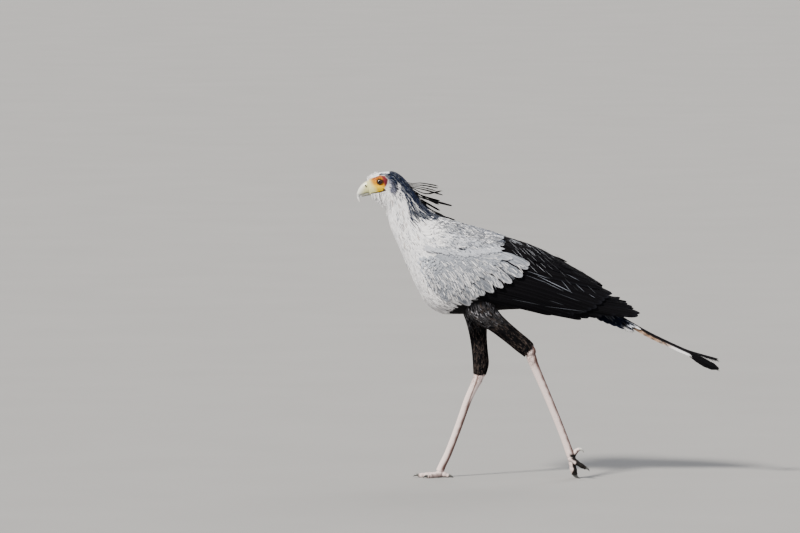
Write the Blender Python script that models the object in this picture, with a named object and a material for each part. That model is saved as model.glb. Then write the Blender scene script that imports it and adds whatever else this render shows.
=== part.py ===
"""A life-size secretary bird, walking, as a still model of closed solids.

The bird faces -X and stands on z = 0, with +Z up and its left side at -Y. The origin is on the floor under
the middle of its length. Places in the side view are written in steps of PX, the size of one pixel of the
side-on view that the proportions come from, and widths and thicknesses are in millimetres.
"""

import math

import bmesh
import bpy
import numpy as np
from mathutils import Vector

# Scale: a mean tarsus for the species, and its length in the side view
TARSUS = 0.31
TARSUS_STEPS = 106
PX = TARSUS / TARSUS_STEPS
MIDDLE_STEP = 537.9
FLOOR_STEP = 478.5

MM = 0.001
GAP = 0.0003
LEFT, RIGHT = -1, 1
SIDE_NAMES = {LEFT: "left", RIGHT: "right"}

# Head, neck and torso: dorsal x, z, ventral x, z in steps, half width in mm, and how far the widest
# level lies towards the back (plus) or the belly (minus)
BODY = (
    (366.6, 181.0, 370.2, 195.2, 9.5, 0.0),
    (368.8, 178.0, 373.4, 195.6, 14.5, 0.1),
    (373.0, 174.8, 377.0, 195.8, 19.5, 0.2),
    (379.0, 172.8, 380.6, 196.0, 24.0, 0.25),
    (385.5, 171.8, 384.2, 197.2, 27.5, 0.2),
    (392.5, 172.1, 386.6, 200.0, 29.0, 0.1),
    (399.0, 175.2, 387.8, 205.0, 30.0, 0.0),
    (405.0, 180.6, 388.2, 211.0, 31.0, 0.0),
    (412.0, 189.5, 388.8, 218.0, 33.0, 0.0),
    (419.5, 199.0, 390.8, 226.5, 37.0, 0.0),
    (428.0, 208.5, 395.2, 237.5, 45.0, 0.0),
    (438.0, 215.5, 400.6, 249.5, 56.0, 0.0),
    (448.0, 220.0, 406.6, 262.5, 72.0, 0.0),
    (458.5, 223.4, 412.4, 276.5, 84.0, 0.0),
    (471.0, 226.8, 419.2, 290.5, 91.0, -0.05),
    (485.0, 230.6, 428.4, 303.5, 94.0, -0.08),
    (500.0, 235.4, 441.0, 311.6, 96.0, -0.1),
    (516.0, 242.0, 457.4, 313.4, 92.0, -0.1),
    (531.0, 250.0, 476.6, 312.4, 84.0, -0.1),
    (545.0, 259.0, 498.0, 309.6, 72.0, 0.0),
    (558.0, 268.5, 520.0, 308.4, 56.0, 0.0),
    (570.0, 278.5, 541.0, 306.8, 39.0, 0.0),
    (579.0, 287.5, 560.0, 305.0, 26.0, 0.0),
)
HEAD_END, NECK_END, TORSO_END = 8, 11, 22
# Rings between two rows and points round a ring
HEAD_RINGS, NECK_RINGS, TORSO_RINGS = 2.0, 2, 1.3
HEAD_SIDES, TORSO_SIDES = 18, 22

# Folded plumage over the flank: x, top, bottom in steps, half width in mm, by upright sections
FLANK = (
    (400.0, 203.0, 256.0, 48.0),
    (420.0, 208.5, 288.0, 76.0),
    (440.0, 216.0, 309.0, 95.0),
    (470.0, 224.0, 318.5, 106.0),
    (500.0, 232.5, 320.5, 107.0),
    (530.0, 241.5, 321.0, 96.0),
    (560.0, 257.5, 324.0, 79.0),
    (590.0, 274.0, 329.0, 62.0),
    (620.0, 295.0, 332.0, 48.0),
    (650.0, 308.0, 334.0, 38.0),
)

FLANK_EDGE_LEVEL = 0.97

# Bill, in the same terms as the body
UPPER_BILL = (
    (366.4, 180.9, 369.4, 192.9, 9.2, 0.15),
    (363.0, 183.2, 366.2, 193.3, 8.2, 0.15),
    (359.9, 186.6, 363.0, 194.6, 6.8, 0.15),
    (357.9, 190.4, 360.6, 195.4, 5.2, 0.1),
    (357.0, 194.6, 359.4, 196.9, 3.6, 0.0),
    (357.9, 198.8, 359.4, 198.6, 2.0, 0.0),
    (359.6, 201.6, 359.9, 201.4, 0.6, 0.0),
)
LOWER_BILL = (
    (369.5, 193.1, 370.1, 195.2, 8.0, 0.0),
    (366.6, 193.7, 367.2, 195.5, 6.6, 0.0),
    (363.6, 194.7, 364.2, 196.2, 4.6, 0.0),
    (361.4, 195.6, 361.8, 196.5, 2.4, 0.0),
)
NOSTRIL = (366.0, 185.8)
NOSTRIL_LENGTH, NOSTRIL_WIDTH, NOSTRIL_DEPTH, NOSTRIL_Y = 8.0, 3.0, 3.0, 9.0
NOSTRIL_SLANT = math.radians(-55)
EYE = (379.9, 181.1)
EYE_RADIUS = 10.2
EYE_SHOWS = 3.7
EYE_SEGMENTS, EYE_ROWS = 14, 9
LID_POINTS = 14
LID_HALF_LENGTH = 9.4
LID_HALF_HEIGHT = 8.0
LID_THICKNESS = 1.6
GAPE = ((371.5, 193.0), (376.0, 192.2), (381.0, 191.2), (384.6, 189.9))
GAPE_DEPTH = 1.1

# Crest: root x, z, middle x, z, tip x, z in steps, and how far the root, middle and tip lie from the
# middle plane in mm, on the side given by the sign
PLUME_STATIONS = (0.0, 0.35, 0.65, 0.88, 1.0)
PLUME_WIDTHS = (0.35, 0.45, 0.85, 0.95, 0.2)
PLUME_FACING = (0.25, 0.75, 0.6)
QUILL_THICKNESS = 1.1
CREST = (
    ((401, 182), (420, 181.0), (436, 185.6), (6, 11, 15), 3.6),
    ((400, 184), (420, 184.0), (434, 190.0), (-8, -16, -21), 3.6),
    ((401, 185), (424, 191.4), (440, 190.2), (-12, -21, -26), 4.2),
    ((402, 187), (427, 195.5), (452, 205.0), (-9, -14, -16), 5.4),
    ((402, 187), (427, 196.5), (438, 203.0), (10, 19, 24), 4.6),
    ((401, 185), (424, 187.8), (444, 196.0), (14, 25, 31), 4.4),
    ((403, 188), (427, 201.6), (455, 219.4), (-5, -8, -9), 6.0),
    ((403, 188), (424, 200.4), (446, 213.4), (7, 13, 14), 6.0),
)

# Legs: front x, z, back x, z in steps, half width in mm
THIGH = {
    LEFT: (
        (463.0, 301.0, 500.0, 293.0, 30.0),
        (467.0, 314.0, 501.0, 305.0, 31.0),
        (478.0, 323.5, 505.0, 314.5, 29.0),
        (489.5, 329.5, 511.5, 323.5, 26.0),
        (503.0, 339.4, 522.0, 333.0, 22.5),
        (515.5, 349.6, 532.2, 341.6, 19.0),
        (523.5, 355.6, 536.0, 347.4, 15.5),
    ),
    RIGHT: (
        (458.0, 300.0, 496.0, 298.0, 30.0),
        (461.5, 311.0, 492.5, 311.5, 29.0),
        (466.0, 323.0, 488.0, 324.0, 27.0),
        (469.5, 337.0, 487.2, 337.5, 24.5),
        (471.8, 352.0, 488.2, 352.0, 22.0),
        (472.8, 365.0, 489.2, 365.0, 19.0),
        (473.6, 374.0, 488.2, 374.4, 15.5),
    ),
}
HIP_Y, ANKLE_Y = 47.0, 37.0
# The planted foot comes in under the middle of the body
FOOT_Y = {LEFT: 26.0, RIGHT: 10.0}

# Shank: middle x, z in steps and half depth, half width in mm
SHANK = {
    LEFT: (
        (529.6, 350.4, 13.5, 10.5),
        (532.2, 359.0, 14.0, 11.0),
        (534.9, 366.5, 12.2, 9.0),
        (544.7, 389.4, 10.8, 7.2),
        (555.3, 414.8, 10.2, 6.8),
        (563.4, 435.4, 10.2, 7.0),
        (568.0, 448.0, 10.6, 8.0),
        (571.0, 456.0, 11.4, 10.6),
    ),
    RIGHT: (
        (480.6, 372.0, 15.6, 11.6),
        (477.7, 381.0, 14.4, 11.0),
        (474.0, 388.0, 12.2, 9.0),
        (467.2, 403.0, 10.6, 7.2),
        (458.5, 427.6, 10.0, 6.8),
        (448.8, 453.0, 10.0, 7.0),
        (442.6, 466.0, 10.4, 8.4),
        (440.0, 472.2, 11.4, 10.8),
    ),
}
THIGH_SIDES, SHANK_SIDES = 14, 9
SCUTES = 12
SCUTE_STEP = 0.7
SCUTED = (0.25, 0.97)

# Toes: places along each toe from the foot's joint, in mm from it (ahead of the bird, outwards, up),
# with a radius at each place. What reaches the floor is cut flat by it: the undersides of the planted
# toes, and the tips of the two claws on which the trailing foot still rests.
PLANTED_JOINT = (440.0, 474.6)
LIFTED_JOINT = (571.8, 458.4)
PLANTED_TOES = {
    "middle": (
        (0, 0, -2, 9.5),
        (18, 0, -5, 8.2),
        (38, 0, -5.4, 7.8),
        (54, 0, -5.8, 6.8),
        (62, 0, -5.6, 5.6),
    ),
    "inner": ((0, -3, -2, 9.0), (14, -12, -5, 7.6), (28, -22, -5.6, 7.0), (37, -29, -5.8, 5.4)),
    "outer": ((0, 3, -2, 9.0), (15, 13, -5, 7.4), (30, 23, -5.6, 6.8), (40, 30, -5.8, 5.4)),
    "hind": ((0, -1, 0, 8.0), (-14, -4, -3.0, 6.8), (-26, -7, -6.2, 5.0)),
}
LIFTED_TOES = {
    "middle": ((0, 0, 0, 9.5), (-4, 0, -18, 8.4), (-8, 0, -35, 7.6), (-12, 0, -47.8, 5.8)),
    "inner": ((0, -4, 0, 8.6), (0, -10, -16, 7.4), (-2, -14, -33, 6.8), (-6, -16, -47.6, 5.4)),
    "outer": ((0, 4, 0, 8.6), (-14, 9, -11, 7.4), (-30, 13, -21, 6.6), (-41, 15, -27, 5.0)),
    "hind": ((-2, -1, 4, 8.0), (-12, -3, 20, 6.6), (-22, -5, 27, 5.2)),
}
# Claws: length and radius in mm, and in radians how far each first rises and how far it bends in all
CLAWS = {"middle": (20, 4.8), "inner": (20, 4.6), "outer": (17, 4.4), "hind": (21, 4.6)}
CLAW_RISE, CLAW_BEND = 0.42, 1.35
HANGING_RISE, HANGING_BEND = 0.0, 1.1
CLAW_RINGS, CLAW_SIDES = 6, 6
CLAW_NARROWNESS, CLAW_TAPER = 0.85, 0.93
TOE_SIDES, PAD_SWELL = 8, 0.07
FOOT_BALL = 12.0
FLOOR_BLOCK = 2.0

# Wing: the plate that carries the vanes, by its edges in the side view. Each tier of vanes has a line
# that its roots start from and a line of tips, and lies under the plumage's surface by a depth in mm at
# its roots and at its tips. A vane's upper edge is tucked in by the tilt, under the next one above.
WING_EDGE_UPPER = ((417, 249), (432, 240), (462, 235.5), (494, 238), (516, 246), (532, 257))
WING_EDGE_LOWER = ((413.5, 258), (417, 274), (430, 288), (448, 297), (464, 300), (477, 297))
WING_ROWS, WING_COLUMNS = 9, 6
WING_THICKNESS, WING_RIM = 15.0, 2.0
WING_PLATE_DEPTH = 3.0
PLUMAGE_OVER_BODY = 7.0
VANE_TILT = math.radians(7)
VANE_THICKNESS = 1.0
# Shares of the thickness: half the blade at its edge, its middle and its tip, and the shaft over it
VANE_EDGE, VANE_MIDDLE, VANE_TIP, VANE_SHAFT = 0.3, 0.5, 0.2, 0.3
VANE_STATIONS = (0.0, 0.35, 0.8, 1.0)
VANE_WIDTHS = (0.62, 1.0, 0.92, 0.22)
WING_TIERS = {
    "primary": {
        "roots": ((474, 296.0), (482, 292.0), (490, 287.0)),
        "tips": ((585, 317.6), (608, 314.6), (627, 313.8), (640.4, 312.9), (632, 305.6), (621, 299)),
        "root_depth": 11.0,
        "tip_depths": (6.0, 9.0),
        "half_width": 14.0,
        "count": 5,
        "bow": 1.0,
        "material": "plumage_black",
    },
    "secondary": {
        "roots": ((468, 294.0), (482, 286.0), (500, 275.0), (512, 263.0)),
        "tips": ((560.0, 313.6), (585.0, 311.0), (603.0, 303.0), (612.6, 292.0)),
        "root_depth": 8.0,
        "tip_depths": (2.2, 4.0),
        "half_width": 20.0,
        "count": 6,
        "bow": 2.0,
        "material": "plumage_black",
    },
    "tertial": {
        "roots": ((504, 262.0), (500, 254.0), (496, 246.0), (490, 240.0)),
        "tips": ((600.6, 284.6), (584.0, 274.6), (566.0, 264.0), (548.0, 253.6)),
        "root_depth": 5.5,
        "tip_depths": (0.2, 0.6),
        "half_width": 22.0,
        "count": 4,
        "bow": 3.0,
        "material": "plumage_black",
    },
    "greater": {
        "roots": ((448, 280.0), (462, 266.0), (484, 256.0), (502, 249.0)),
        "tips": ((468.5, 301.6), (489.0, 290.6), (512.0, 280.4), (533.6, 262.6)),
        "root_depth": 6.0,
        "tip_depths": (0.2, 0.2),
        "half_width": 17.0,
        "count": 7,
        "bow": 1.0,
        "material": "plumage_grey",
    },
    "median": {
        "roots": ((432, 272.0), (444, 257.0), (462, 248.0), (482, 243.0)),
        "tips": ((455.0, 291.0), (471.0, 280.0), (491.0, 270.0), (511.0, 255.0)),
        "root_depth": 6.0,
        "tip_depths": (-1.2, -1.2),
        "half_width": 16.0,
        "count": 6,
        "bow": 1.0,
        "material": "plumage_grey",
    },
}

# Tail: tip x, z in steps, its distance from the middle plane and its half width in mm, outermost first
TAIL_STATIONS = (0.0, 0.3, 0.65, 0.88, 1.0)
TAIL_WIDTHS = (0.4, 0.75, 1.0, 0.85, 0.25)
TAIL_CORE = (
    (586.0, 293.5, 570.0, 308.0, 21.0, 0.0),
    (594.0, 301.0, 583.0, 312.5, 14.0, 0.0),
    (600.0, 307.5, 594.0, 314.5, 6.0, 0.0),
)
TAIL_ROOT, TAIL_ROOT_RISE, TAIL_ROOT_Y = (579.0, 303.0), 1.2, 3.0
TAIL_SPREAD, TAIL_BOW = 0.8, 1.5
TAIL_FACING = (0.45, 0.5, 0.8)
RECTRICES = (
    (601.0, 319.5, 21.0, 11.0),
    (612.0, 323.5, 19.0, 12.0),
    (622.0, 327.0, 16.0, 13.0),
    (632.0, 330.0, 12.0, 13.0),
)
STREAMERS = {
    LEFT: (
        (580, 294.5),
        (600, 306),
        (625, 320.5),
        (650, 335),
        (675, 347),
        (692, 355),
        (706, 362),
        (718.6, 367.6),
    ),
    RIGHT: (
        (580, 293.5),
        (600, 304),
        (625, 317.5),
        (650, 331.5),
        (675, 343.5),
        (690, 350),
        (706, 355.5),
        (718.8, 359.4),
    ),
}
STREAMER_WIDTHS = (5.0, 9.0, 9.5, 9.0, 7.5, 8.0, 13.0, 2.5)
STREAMER_Y = (4.0, 8.0, 10.5, 11.0, 11.0, 12.0, 13.0, 13.0)
STREAMER_TILT = {LEFT: math.radians(38), RIGHT: math.radians(20)}
STREAMER_LEAN = 0.45
STREAMER_THICKNESS = 1.2

# Base colour, roughness of each part's material
COLOURS = {
    "plumage_grey": ((0.52, 0.54, 0.58), 0.8),
    "plumage_white": ((0.80, 0.78, 0.74), 0.85),
    "plumage_black": ((0.015, 0.015, 0.02), 0.6),
    "face": ((0.85, 0.35, 0.04), 0.5),
    "bill": ((0.55, 0.58, 0.56), 0.35),
    "eye": ((0.03, 0.015, 0.01), 0.08),
    "leg": ((0.62, 0.44, 0.40), 0.55),
    "claw": ((0.03, 0.03, 0.03), 0.4),
}


def place(x, z, y=0.0):
    """A point of the side view, y millimetres from the middle plane, in metres."""
    return Vector(((x - MIDDLE_STEP) * PX, y * MM, (FLOOR_STEP - z) * PX))


def clear_scene():
    for obj in list(bpy.data.objects):
        bpy.data.objects.remove(obj)


def material(name):
    found = bpy.data.materials.get(name)
    if found:
        return found
    colour, roughness = COLOURS[name]
    made = bpy.data.materials.new(name)
    made.use_nodes = True
    shader = made.node_tree.nodes["Principled BSDF"]
    shader.inputs["Base Color"].default_value = (*colour, 1.0)
    shader.inputs["Roughness"].default_value = roughness
    shader.inputs["Metallic"].default_value = 0.0
    return made


def smooth(rows, t):
    """A Catmull-Rom curve through rows of numbers, at t from 0 to the last row's index."""
    rows = np.asarray(rows, float)
    last = len(rows) - 1
    i = min(max(int(t), 0), last - 1)
    f = t - i
    before, here = rows[max(i - 1, 0)], rows[i]
    then, after = rows[i + 1], rows[min(i + 2, last)]
    linear = then - before
    square = 2 * before - 5 * here + 4 * then - after
    cube = 3 * here - before - 3 * then + after
    return 0.5 * (2 * here + linear * f + square * f**2 + cube * f**3)


def along(line, share):
    """A point at a share, 0 to 1, of the way along a line of points."""
    return smooth(line, share * (len(line) - 1))


def solid(name, points, faces, material_name):
    """One closed object from points and faces, with its faces turned outwards."""
    mesh = bpy.data.meshes.new(name)
    mesh.from_pydata([tuple(p) for p in points], [], faces)
    shaped = bmesh.new()
    shaped.from_mesh(mesh)
    bmesh.ops.recalc_face_normals(shaped, faces=shaped.faces)
    if shaped.calc_volume(signed=True) < 0:
        bmesh.ops.reverse_faces(shaped, faces=shaped.faces)
    shaped.to_mesh(mesh)
    shaped.free()
    obj = bpy.data.objects.new(name, mesh)
    obj.data.materials.append(material(material_name))
    bpy.context.scene.collection.objects.link(obj)
    return obj


def tube(name, rings, material_name):
    """A closed body through rings that hold the same number of points, with a fan over each end."""
    sides = len(rings[0])
    points = [p for ring in rings for p in ring]
    faces = []
    for i in range(len(rings) - 1):
        for k in range(sides):
            a, b = i * sides + k, i * sides + (k + 1) % sides
            faces.append((a, b, b + sides))
            faces.append((a, b + sides, a + sides))
    for ring, base in ((rings[0], 0), (rings[-1], (len(rings) - 1) * sides)):
        points.append(sum(ring, Vector()) / sides)
        pole = len(points) - 1
        faces.extend((base + k, base + (k + 1) % sides, pole) for k in range(sides))
    return solid(name, points, faces, material_name)


def section(row, sides, grow=0.0):
    """A ring between a dorsal and a ventral point, grown by some metres."""
    top, bottom = place(row[0], row[1]), place(row[2], row[3])
    half_width, lean = row[4] * MM + grow, row[5]
    middle, up = (top + bottom) / 2, (top - bottom) / 2
    up = up * (1 + grow / up.length)
    ring = []
    for k in range(sides):
        angle = 2 * math.pi * k / sides
        width = half_width * math.sin(angle) * (1 + lean * math.cos(angle))
        ring.append(middle + up * math.cos(angle) + Vector((0, width, 0)))
    return ring


def shifted(ring, distance, sense=Vector((1, 0, 0))):
    """A ring moved along its own axis, towards the given sense."""
    side = ring[1] - ring[0]
    normal = (ring[len(ring) // 2] - ring[0]).cross(side).normalized()
    if normal.dot(sense) < 0:
        normal = -normal
    return [p + normal * distance for p in ring]


def body_rings(first, last, per_station, sides, grow=0.0):
    count = round((last - first) * per_station)
    return [section(smooth(BODY, first + (last - first) * i / count), sides, grow) for i in range(count + 1)]


def combine(target, others, operation):
    """Applies one Boolean with all the others to the target, and removes them."""
    tools = bpy.data.collections.new("tools")
    for other in others:
        tools.objects.link(other)
    cut = target.modifiers.new("cut", "BOOLEAN")
    cut.operand_type = "COLLECTION"
    cut.collection = tools
    cut.operation = operation
    cut.solver = "MANIFOLD"
    bpy.context.view_layer.update()
    made = bpy.data.meshes.new_from_object(target.evaluated_get(bpy.context.evaluated_depsgraph_get()))
    target.modifiers.clear()
    target.data = made
    for other in others:
        bpy.data.objects.remove(other)
    bpy.data.collections.remove(tools)
    keep_largest(target)


def keep_largest(obj):
    """Leaves only the closed surface with the largest volume."""
    shaped = bmesh.new()
    shaped.from_mesh(obj.data)
    left = set(shaped.verts)
    groups = []
    while left:
        group, edge = set(), [left.pop()]
        while edge:
            vert = edge.pop()
            group.add(vert)
            near = {e.other_vert(vert) for e in vert.link_edges} & left
            left -= near
            edge.extend(near)
        groups.append(group)

    def volume(group):
        faces = {f for v in group for f in v.link_faces}
        total = 0.0
        for f in faces:
            a = f.verts[0].co
            for b, c in zip(f.verts[1:-1], f.verts[2:]):
                total += a.dot(b.co.cross(c.co))
        return abs(total)

    groups.sort(key=volume)
    drop = [v for group in groups[:-1] for v in group]
    bmesh.ops.delete(shaped, geom=drop, context="VERTS")
    shaped.to_mesh(obj.data)
    shaped.free()


def vane(name, centres, normals, half_widths, thickness, material_name):
    """A feather's blade, three points across, with its two faces split into triangles alike.

    Sizes are in metres. The middle stands up by a share of the thickness, as a shaft does."""
    points = []
    last = len(centres) - 1
    for i, (centre, normal, half) in enumerate(zip(centres, normals, half_widths)):
        ahead = centres[min(i + 1, last)] - centres[max(i - 1, 0)]
        across = normal.cross(ahead).normalized()
        up = ahead.cross(across).normalized()
        edge = thickness * (VANE_EDGE if i < last else VANE_TIP)
        core = thickness * (VANE_MIDDLE if i < last else VANE_TIP)
        points += [centre - across * half + up * edge, centre + up * (core + VANE_SHAFT * thickness)]
        points += [centre + across * half + up * edge]
        points += [centre - across * half - up * edge, centre - up * core]
        points += [centre + across * half - up * edge]
    faces = []
    for i in range(last):
        a, b = 6 * i, 6 * (i + 1)
        for k in (0, 1):
            faces += [(a + k, a + k + 1, b + k + 1), (a + k, b + k + 1, b + k)]
            faces += [(a + k + 3, b + k + 4, a + k + 4), (a + k + 3, b + k + 3, b + k + 4)]
        for k in (0, 2):
            faces += [(a + k, b + k, b + k + 3), (a + k, b + k + 3, a + k + 3)]
    for a in (0, 6 * last):
        faces += [(a, a + 1, a + 4), (a, a + 4, a + 3), (a + 1, a + 2, a + 5), (a + 1, a + 5, a + 4)]
    return solid(name, points, faces, material_name)


def body_half(x, z):
    """The body's half width in mm at a place of the side view, from its own sections."""
    target = place(x, z)
    best, width = None, 0.0
    for middle, axis, half, lean in BODY_SECTIONS:
        offset = target - middle
        level = offset.dot(axis) / axis.length_squared
        if abs(level) >= 1:
            continue
        off_line = (offset - axis * level).length
        if best is None or off_line < best:
            best = off_line
            width = half * math.sqrt(1 - level * level) * (1 + lean * level)
    return width


def body_sections(per_station):
    """Each section's middle, the arm from there to its dorsal point, its half width in mm and its lean."""
    sections = []
    for i in range(per_station * (len(BODY) - 1) + 1):
        row = smooth(BODY, i / per_station)
        top, bottom = place(row[0], row[1]), place(row[2], row[3])
        sections.append(((top + bottom) / 2, (top - bottom) / 2, row[4], row[5]))
    return sections


def flank_half(x, z):
    """Half the plumage's width in mm at a place of the side view."""
    xs = [row[0] for row in FLANK]
    i = min(max(int(np.searchsorted(xs, x)) - 1, 0), len(FLANK) - 2)
    t = i + (x - xs[i]) / (xs[i + 1] - xs[i])
    _, top, bottom, half = smooth(FLANK, min(max(t, 0.0), len(FLANK) - 1.0))
    level = (2 * z - top - bottom) / (bottom - top)
    level = min(max(level, -FLANK_EDGE_LEVEL), FLANK_EDGE_LEVEL)
    return max(half * math.sqrt(1 - level * level), body_half(x, z) + PLUMAGE_OVER_BODY)


def flank(x, z, side, depth):
    """A point of the folded plumage, sunk under its surface by depth in mm, and the way out from it."""
    slope_x = (flank_half(x + 2, z) - flank_half(x - 2, z)) / (4 * PX / MM)
    slope_z = (flank_half(x, z - 2) - flank_half(x, z + 2)) / (4 * PX / MM)
    out = Vector((-slope_x, 1.0, -slope_z)).normalized()
    point = place(x, z, flank_half(x, z)) - out * depth * MM
    if side == LEFT:
        point.y, out.y = -point.y, -out.y
    return point, out


def flank_vane(name, root, tip, side, depths, tier):
    """A vane that lies along the folded plumage from its root to its tip."""
    centres, normals = [], []
    way = (tip[0] - root[0], tip[1] - root[1])
    for t in VANE_STATIONS:
        x = root[0] + way[0] * t
        z = root[1] + way[1] * t - tier["bow"] * 4 * t * (1 - t)
        point, out = flank(x, z, side, depths[0] + (depths[1] - depths[0]) * t)
        ahead = Vector((way[0], 0, -way[1])).normalized()
        upwards = out.cross(ahead) * -side
        centres.append(point)
        normals.append((out + upwards * math.tan(VANE_TILT)).normalized())
    widths = [tier["half_width"] * MM * w for w in VANE_WIDTHS]
    return vane(name, centres, normals, widths, VANE_THICKNESS * MM, tier["material"])


def vane_tier(name, side):
    tier = WING_TIERS[name]
    made = []
    for i in range(tier["count"]):
        share = i / (tier["count"] - 1)
        root, tip = along(tier["roots"], share), along(tier["tips"], share)
        low, high = tier["tip_depths"]
        depths = (tier["root_depth"], low + (high - low) * share)
        made.append(flank_vane(f"{name}_{i}", root, tip, side, depths, tier))
    return made


def wing(side, cutters):
    """A folded wing: a plate over the flank that carries its quills and coverts."""
    rows, columns = WING_ROWS, WING_COLUMNS
    outer, inner = [], []
    for i in range(rows + 1):
        share = i / rows
        low, high = along(WING_EDGE_LOWER, share), along(WING_EDGE_UPPER, share)
        for k in range(columns + 1):
            part = k / columns
            x, z = low + (high - low) * part
            swell = math.sin(math.pi * part) ** 0.5 * math.sin(math.pi * share) ** 0.5
            outer.append(flank(x, z, side, WING_PLATE_DEPTH)[0])
            inner.append(flank(x, z, side, WING_PLATE_DEPTH + WING_RIM + WING_THICKNESS * swell)[0])
    width = columns + 1
    points = outer + inner
    base = len(outer)
    faces = []
    for i in range(rows):
        for k in range(columns):
            a, b = i * width + k, (i + 1) * width + k
            faces += [(a, a + 1, b + 1), (a, b + 1, b)]
            faces += [(base + a, base + b + 1, base + a + 1), (base + a, base + b, base + b + 1)]
    rim = [i * width for i in range(rows + 1)] + [rows * width + k for k in range(1, width)]
    rim += [i * width + columns for i in reversed(range(rows))] + list(reversed(range(1, columns)))
    for a, b in zip(rim, rim[1:] + rim[:1]):
        faces += [(a, b, base + b), (a, base + b, base + a)]
    name = f"wing_{SIDE_NAMES[side]}"
    plate = solid(name, points, faces, "plumage_grey")
    vanes = [piece for tier in WING_TIERS for piece in vane_tier(tier, side)]
    combine(plate, vanes, "UNION")
    combine(plate, cutters, "DIFFERENCE")


def leg_ring(row, sides, y, grow=0.0):
    front, back = place(row[0], row[1], y), place(row[2], row[3], y)
    middle, ahead = (front + back) / 2, (front - back) / 2
    ahead = ahead * (1 + grow / ahead.length)
    half = row[4] * MM + grow
    turns = [2 * math.pi * k / sides for k in range(sides)]
    return [middle + ahead * math.cos(a) + Vector((0, half * math.sin(a), 0)) for a in turns]


def thigh_rings(side, grow=0.0):
    rows = THIGH[side]
    count = 2 * (len(rows) - 1)
    rings = []
    for i in range(count + 1):
        t = i / count
        y = side * (HIP_Y + (ANKLE_Y - HIP_Y) * t)
        rings.append(leg_ring(smooth(rows, t * (len(rows) - 1)), THIGH_SIDES, y, grow))
    return rings


def thigh(side, cutter):
    obj = tube(f"thigh_{SIDE_NAMES[side]}", thigh_rings(side), "plumage_black")
    combine(obj, [cutter], "DIFFERENCE")


def thigh_cutter(side):
    """The thigh grown by the gap, which its neighbours are cut by."""
    rings = thigh_rings(side, GAP)
    rings[-1] = shifted(rings[-1], GAP, Vector((0, 0, -1)))
    return tube("thigh_cutter", rings, "plumage_black")


def shank_rings(side, grow=0.0):
    rows = SHANK[side]
    last = len(rows) - 1
    rings = []
    steps = 2 * SCUTES + 1
    for i in range(steps):
        t = i / (steps - 1)
        x, z, depth, width = smooth(rows, t * last)
        ahead, behind = smooth(rows, min(t * last + 0.1, last)), smooth(rows, max(t * last - 0.1, 0))
        way = place(*ahead[:2]) - place(*behind[:2])
        way.normalize()
        front = way.cross(Vector((0, 1, 0)))
        middle = place(x, z, side * (ANKLE_Y + (FOOT_Y[side] - ANKLE_Y) * t))
        raised = SCUTE_STEP * (i % 2) * (SCUTED[0] < t < SCUTED[1])
        ring = []
        for k in range(SHANK_SIDES):
            angle = 2 * math.pi * k / SHANK_SIDES
            ahead_by = math.cos(angle)
            reach = (depth + (raised if ahead_by > 0.5 else 0.0)) * MM + grow
            out = width * MM + grow
            ring.append(middle + front * reach * ahead_by + Vector((0, out * math.sin(angle), 0)))
        rings.append(ring)
    return rings


def shank(side):
    """The bare tarsus with the joint at its top, its front raised in a row of scutes."""
    obj = tube(f"shank_{SIDE_NAMES[side]}", shank_rings(side), "leg")
    combine(obj, [thigh_cutter(side)], "DIFFERENCE")


def shank_cutter(side):
    """The shank grown by the gap, which the foot is cut by."""
    rings = shank_rings(side, GAP)
    rings[-1] = shifted(rings[-1], GAP, Vector((0, 0, -1)))
    return tube("shank_cutter", rings, "leg")


def floor_block():
    """A block under the floor, which flattens what rests on it."""
    corners = [Vector((x, y, z)) for z in (-FLOOR_BLOCK, 0) for x, y in ((-1, -1), (1, -1), (1, 1), (-1, 1))]
    faces = ((0, 1, 2, 3), (4, 5, 6, 7), (0, 1, 5, 4), (1, 2, 6, 5), (2, 3, 7, 6), (3, 0, 4, 7))
    return solid("floor_block", corners, faces, "leg")


def toe_rings(places, joint, side):
    """Rings along a toe, swelling at its pads."""
    last = len(places) - 1
    steps = 2 * last
    centres = []
    for i in range(steps + 1):
        ahead, out, up, radius = smooth(places, i * last / steps)
        swell = 1.0 + PAD_SWELL * (-1) ** i
        centres.append((joint + Vector((-ahead, out * side, up)) * MM, radius * MM * swell))
    rings = []
    for i, (centre, radius) in enumerate(centres):
        way = (centres[min(i + 1, steps)][0] - centres[max(i - 1, 0)][0]).normalized()
        across = way.cross(Vector((0, 0, 1)) if abs(way.z) < 0.8 else Vector((-1, 0, 0))).normalized()
        over = across.cross(way).normalized()
        turns = [2 * math.pi * (k + 0.5) / TOE_SIDES for k in range(TOE_SIDES)]
        rings.append([centre + (across * math.cos(a) + over * math.sin(a)) * radius for a in turns])
    return rings


def claw(name, root, way, down, shape, rise, bend):
    """A curved horn from a toe's end, which first rises from its way and then bends down."""
    length, radius = shape
    side = way.cross(down).normalized()
    down = side.cross(way).normalized()
    rings = []
    for i in range(CLAW_RINGS):
        t = i / (CLAW_RINGS - 1)
        angle = bend * t - rise
        ahead = (math.sin(angle) + math.sin(rise)) / bend
        drop = (math.cos(rise) - math.cos(angle)) / bend
        middle = root + (way * ahead + down * drop) * length * MM
        heading = way * math.cos(angle) + down * math.sin(angle)
        over = side.cross(heading).normalized()
        size = radius * MM * (1 - CLAW_TAPER * t**1.3)
        turns = [2 * math.pi * (k + 0.5) / CLAW_SIDES for k in range(CLAW_SIDES)]
        across = side * size * CLAW_NARROWNESS
        rings.append([middle + across * math.cos(a) + over * size * math.sin(a) for a in turns])
    # The first ring lies in the plane of the toe's end
    rings[0] = [p - way * (p - root).dot(way) for p in rings[0]]
    obj = tube(name, rings, "claw")
    combine(obj, [floor_block()], "DIFFERENCE")


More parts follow.
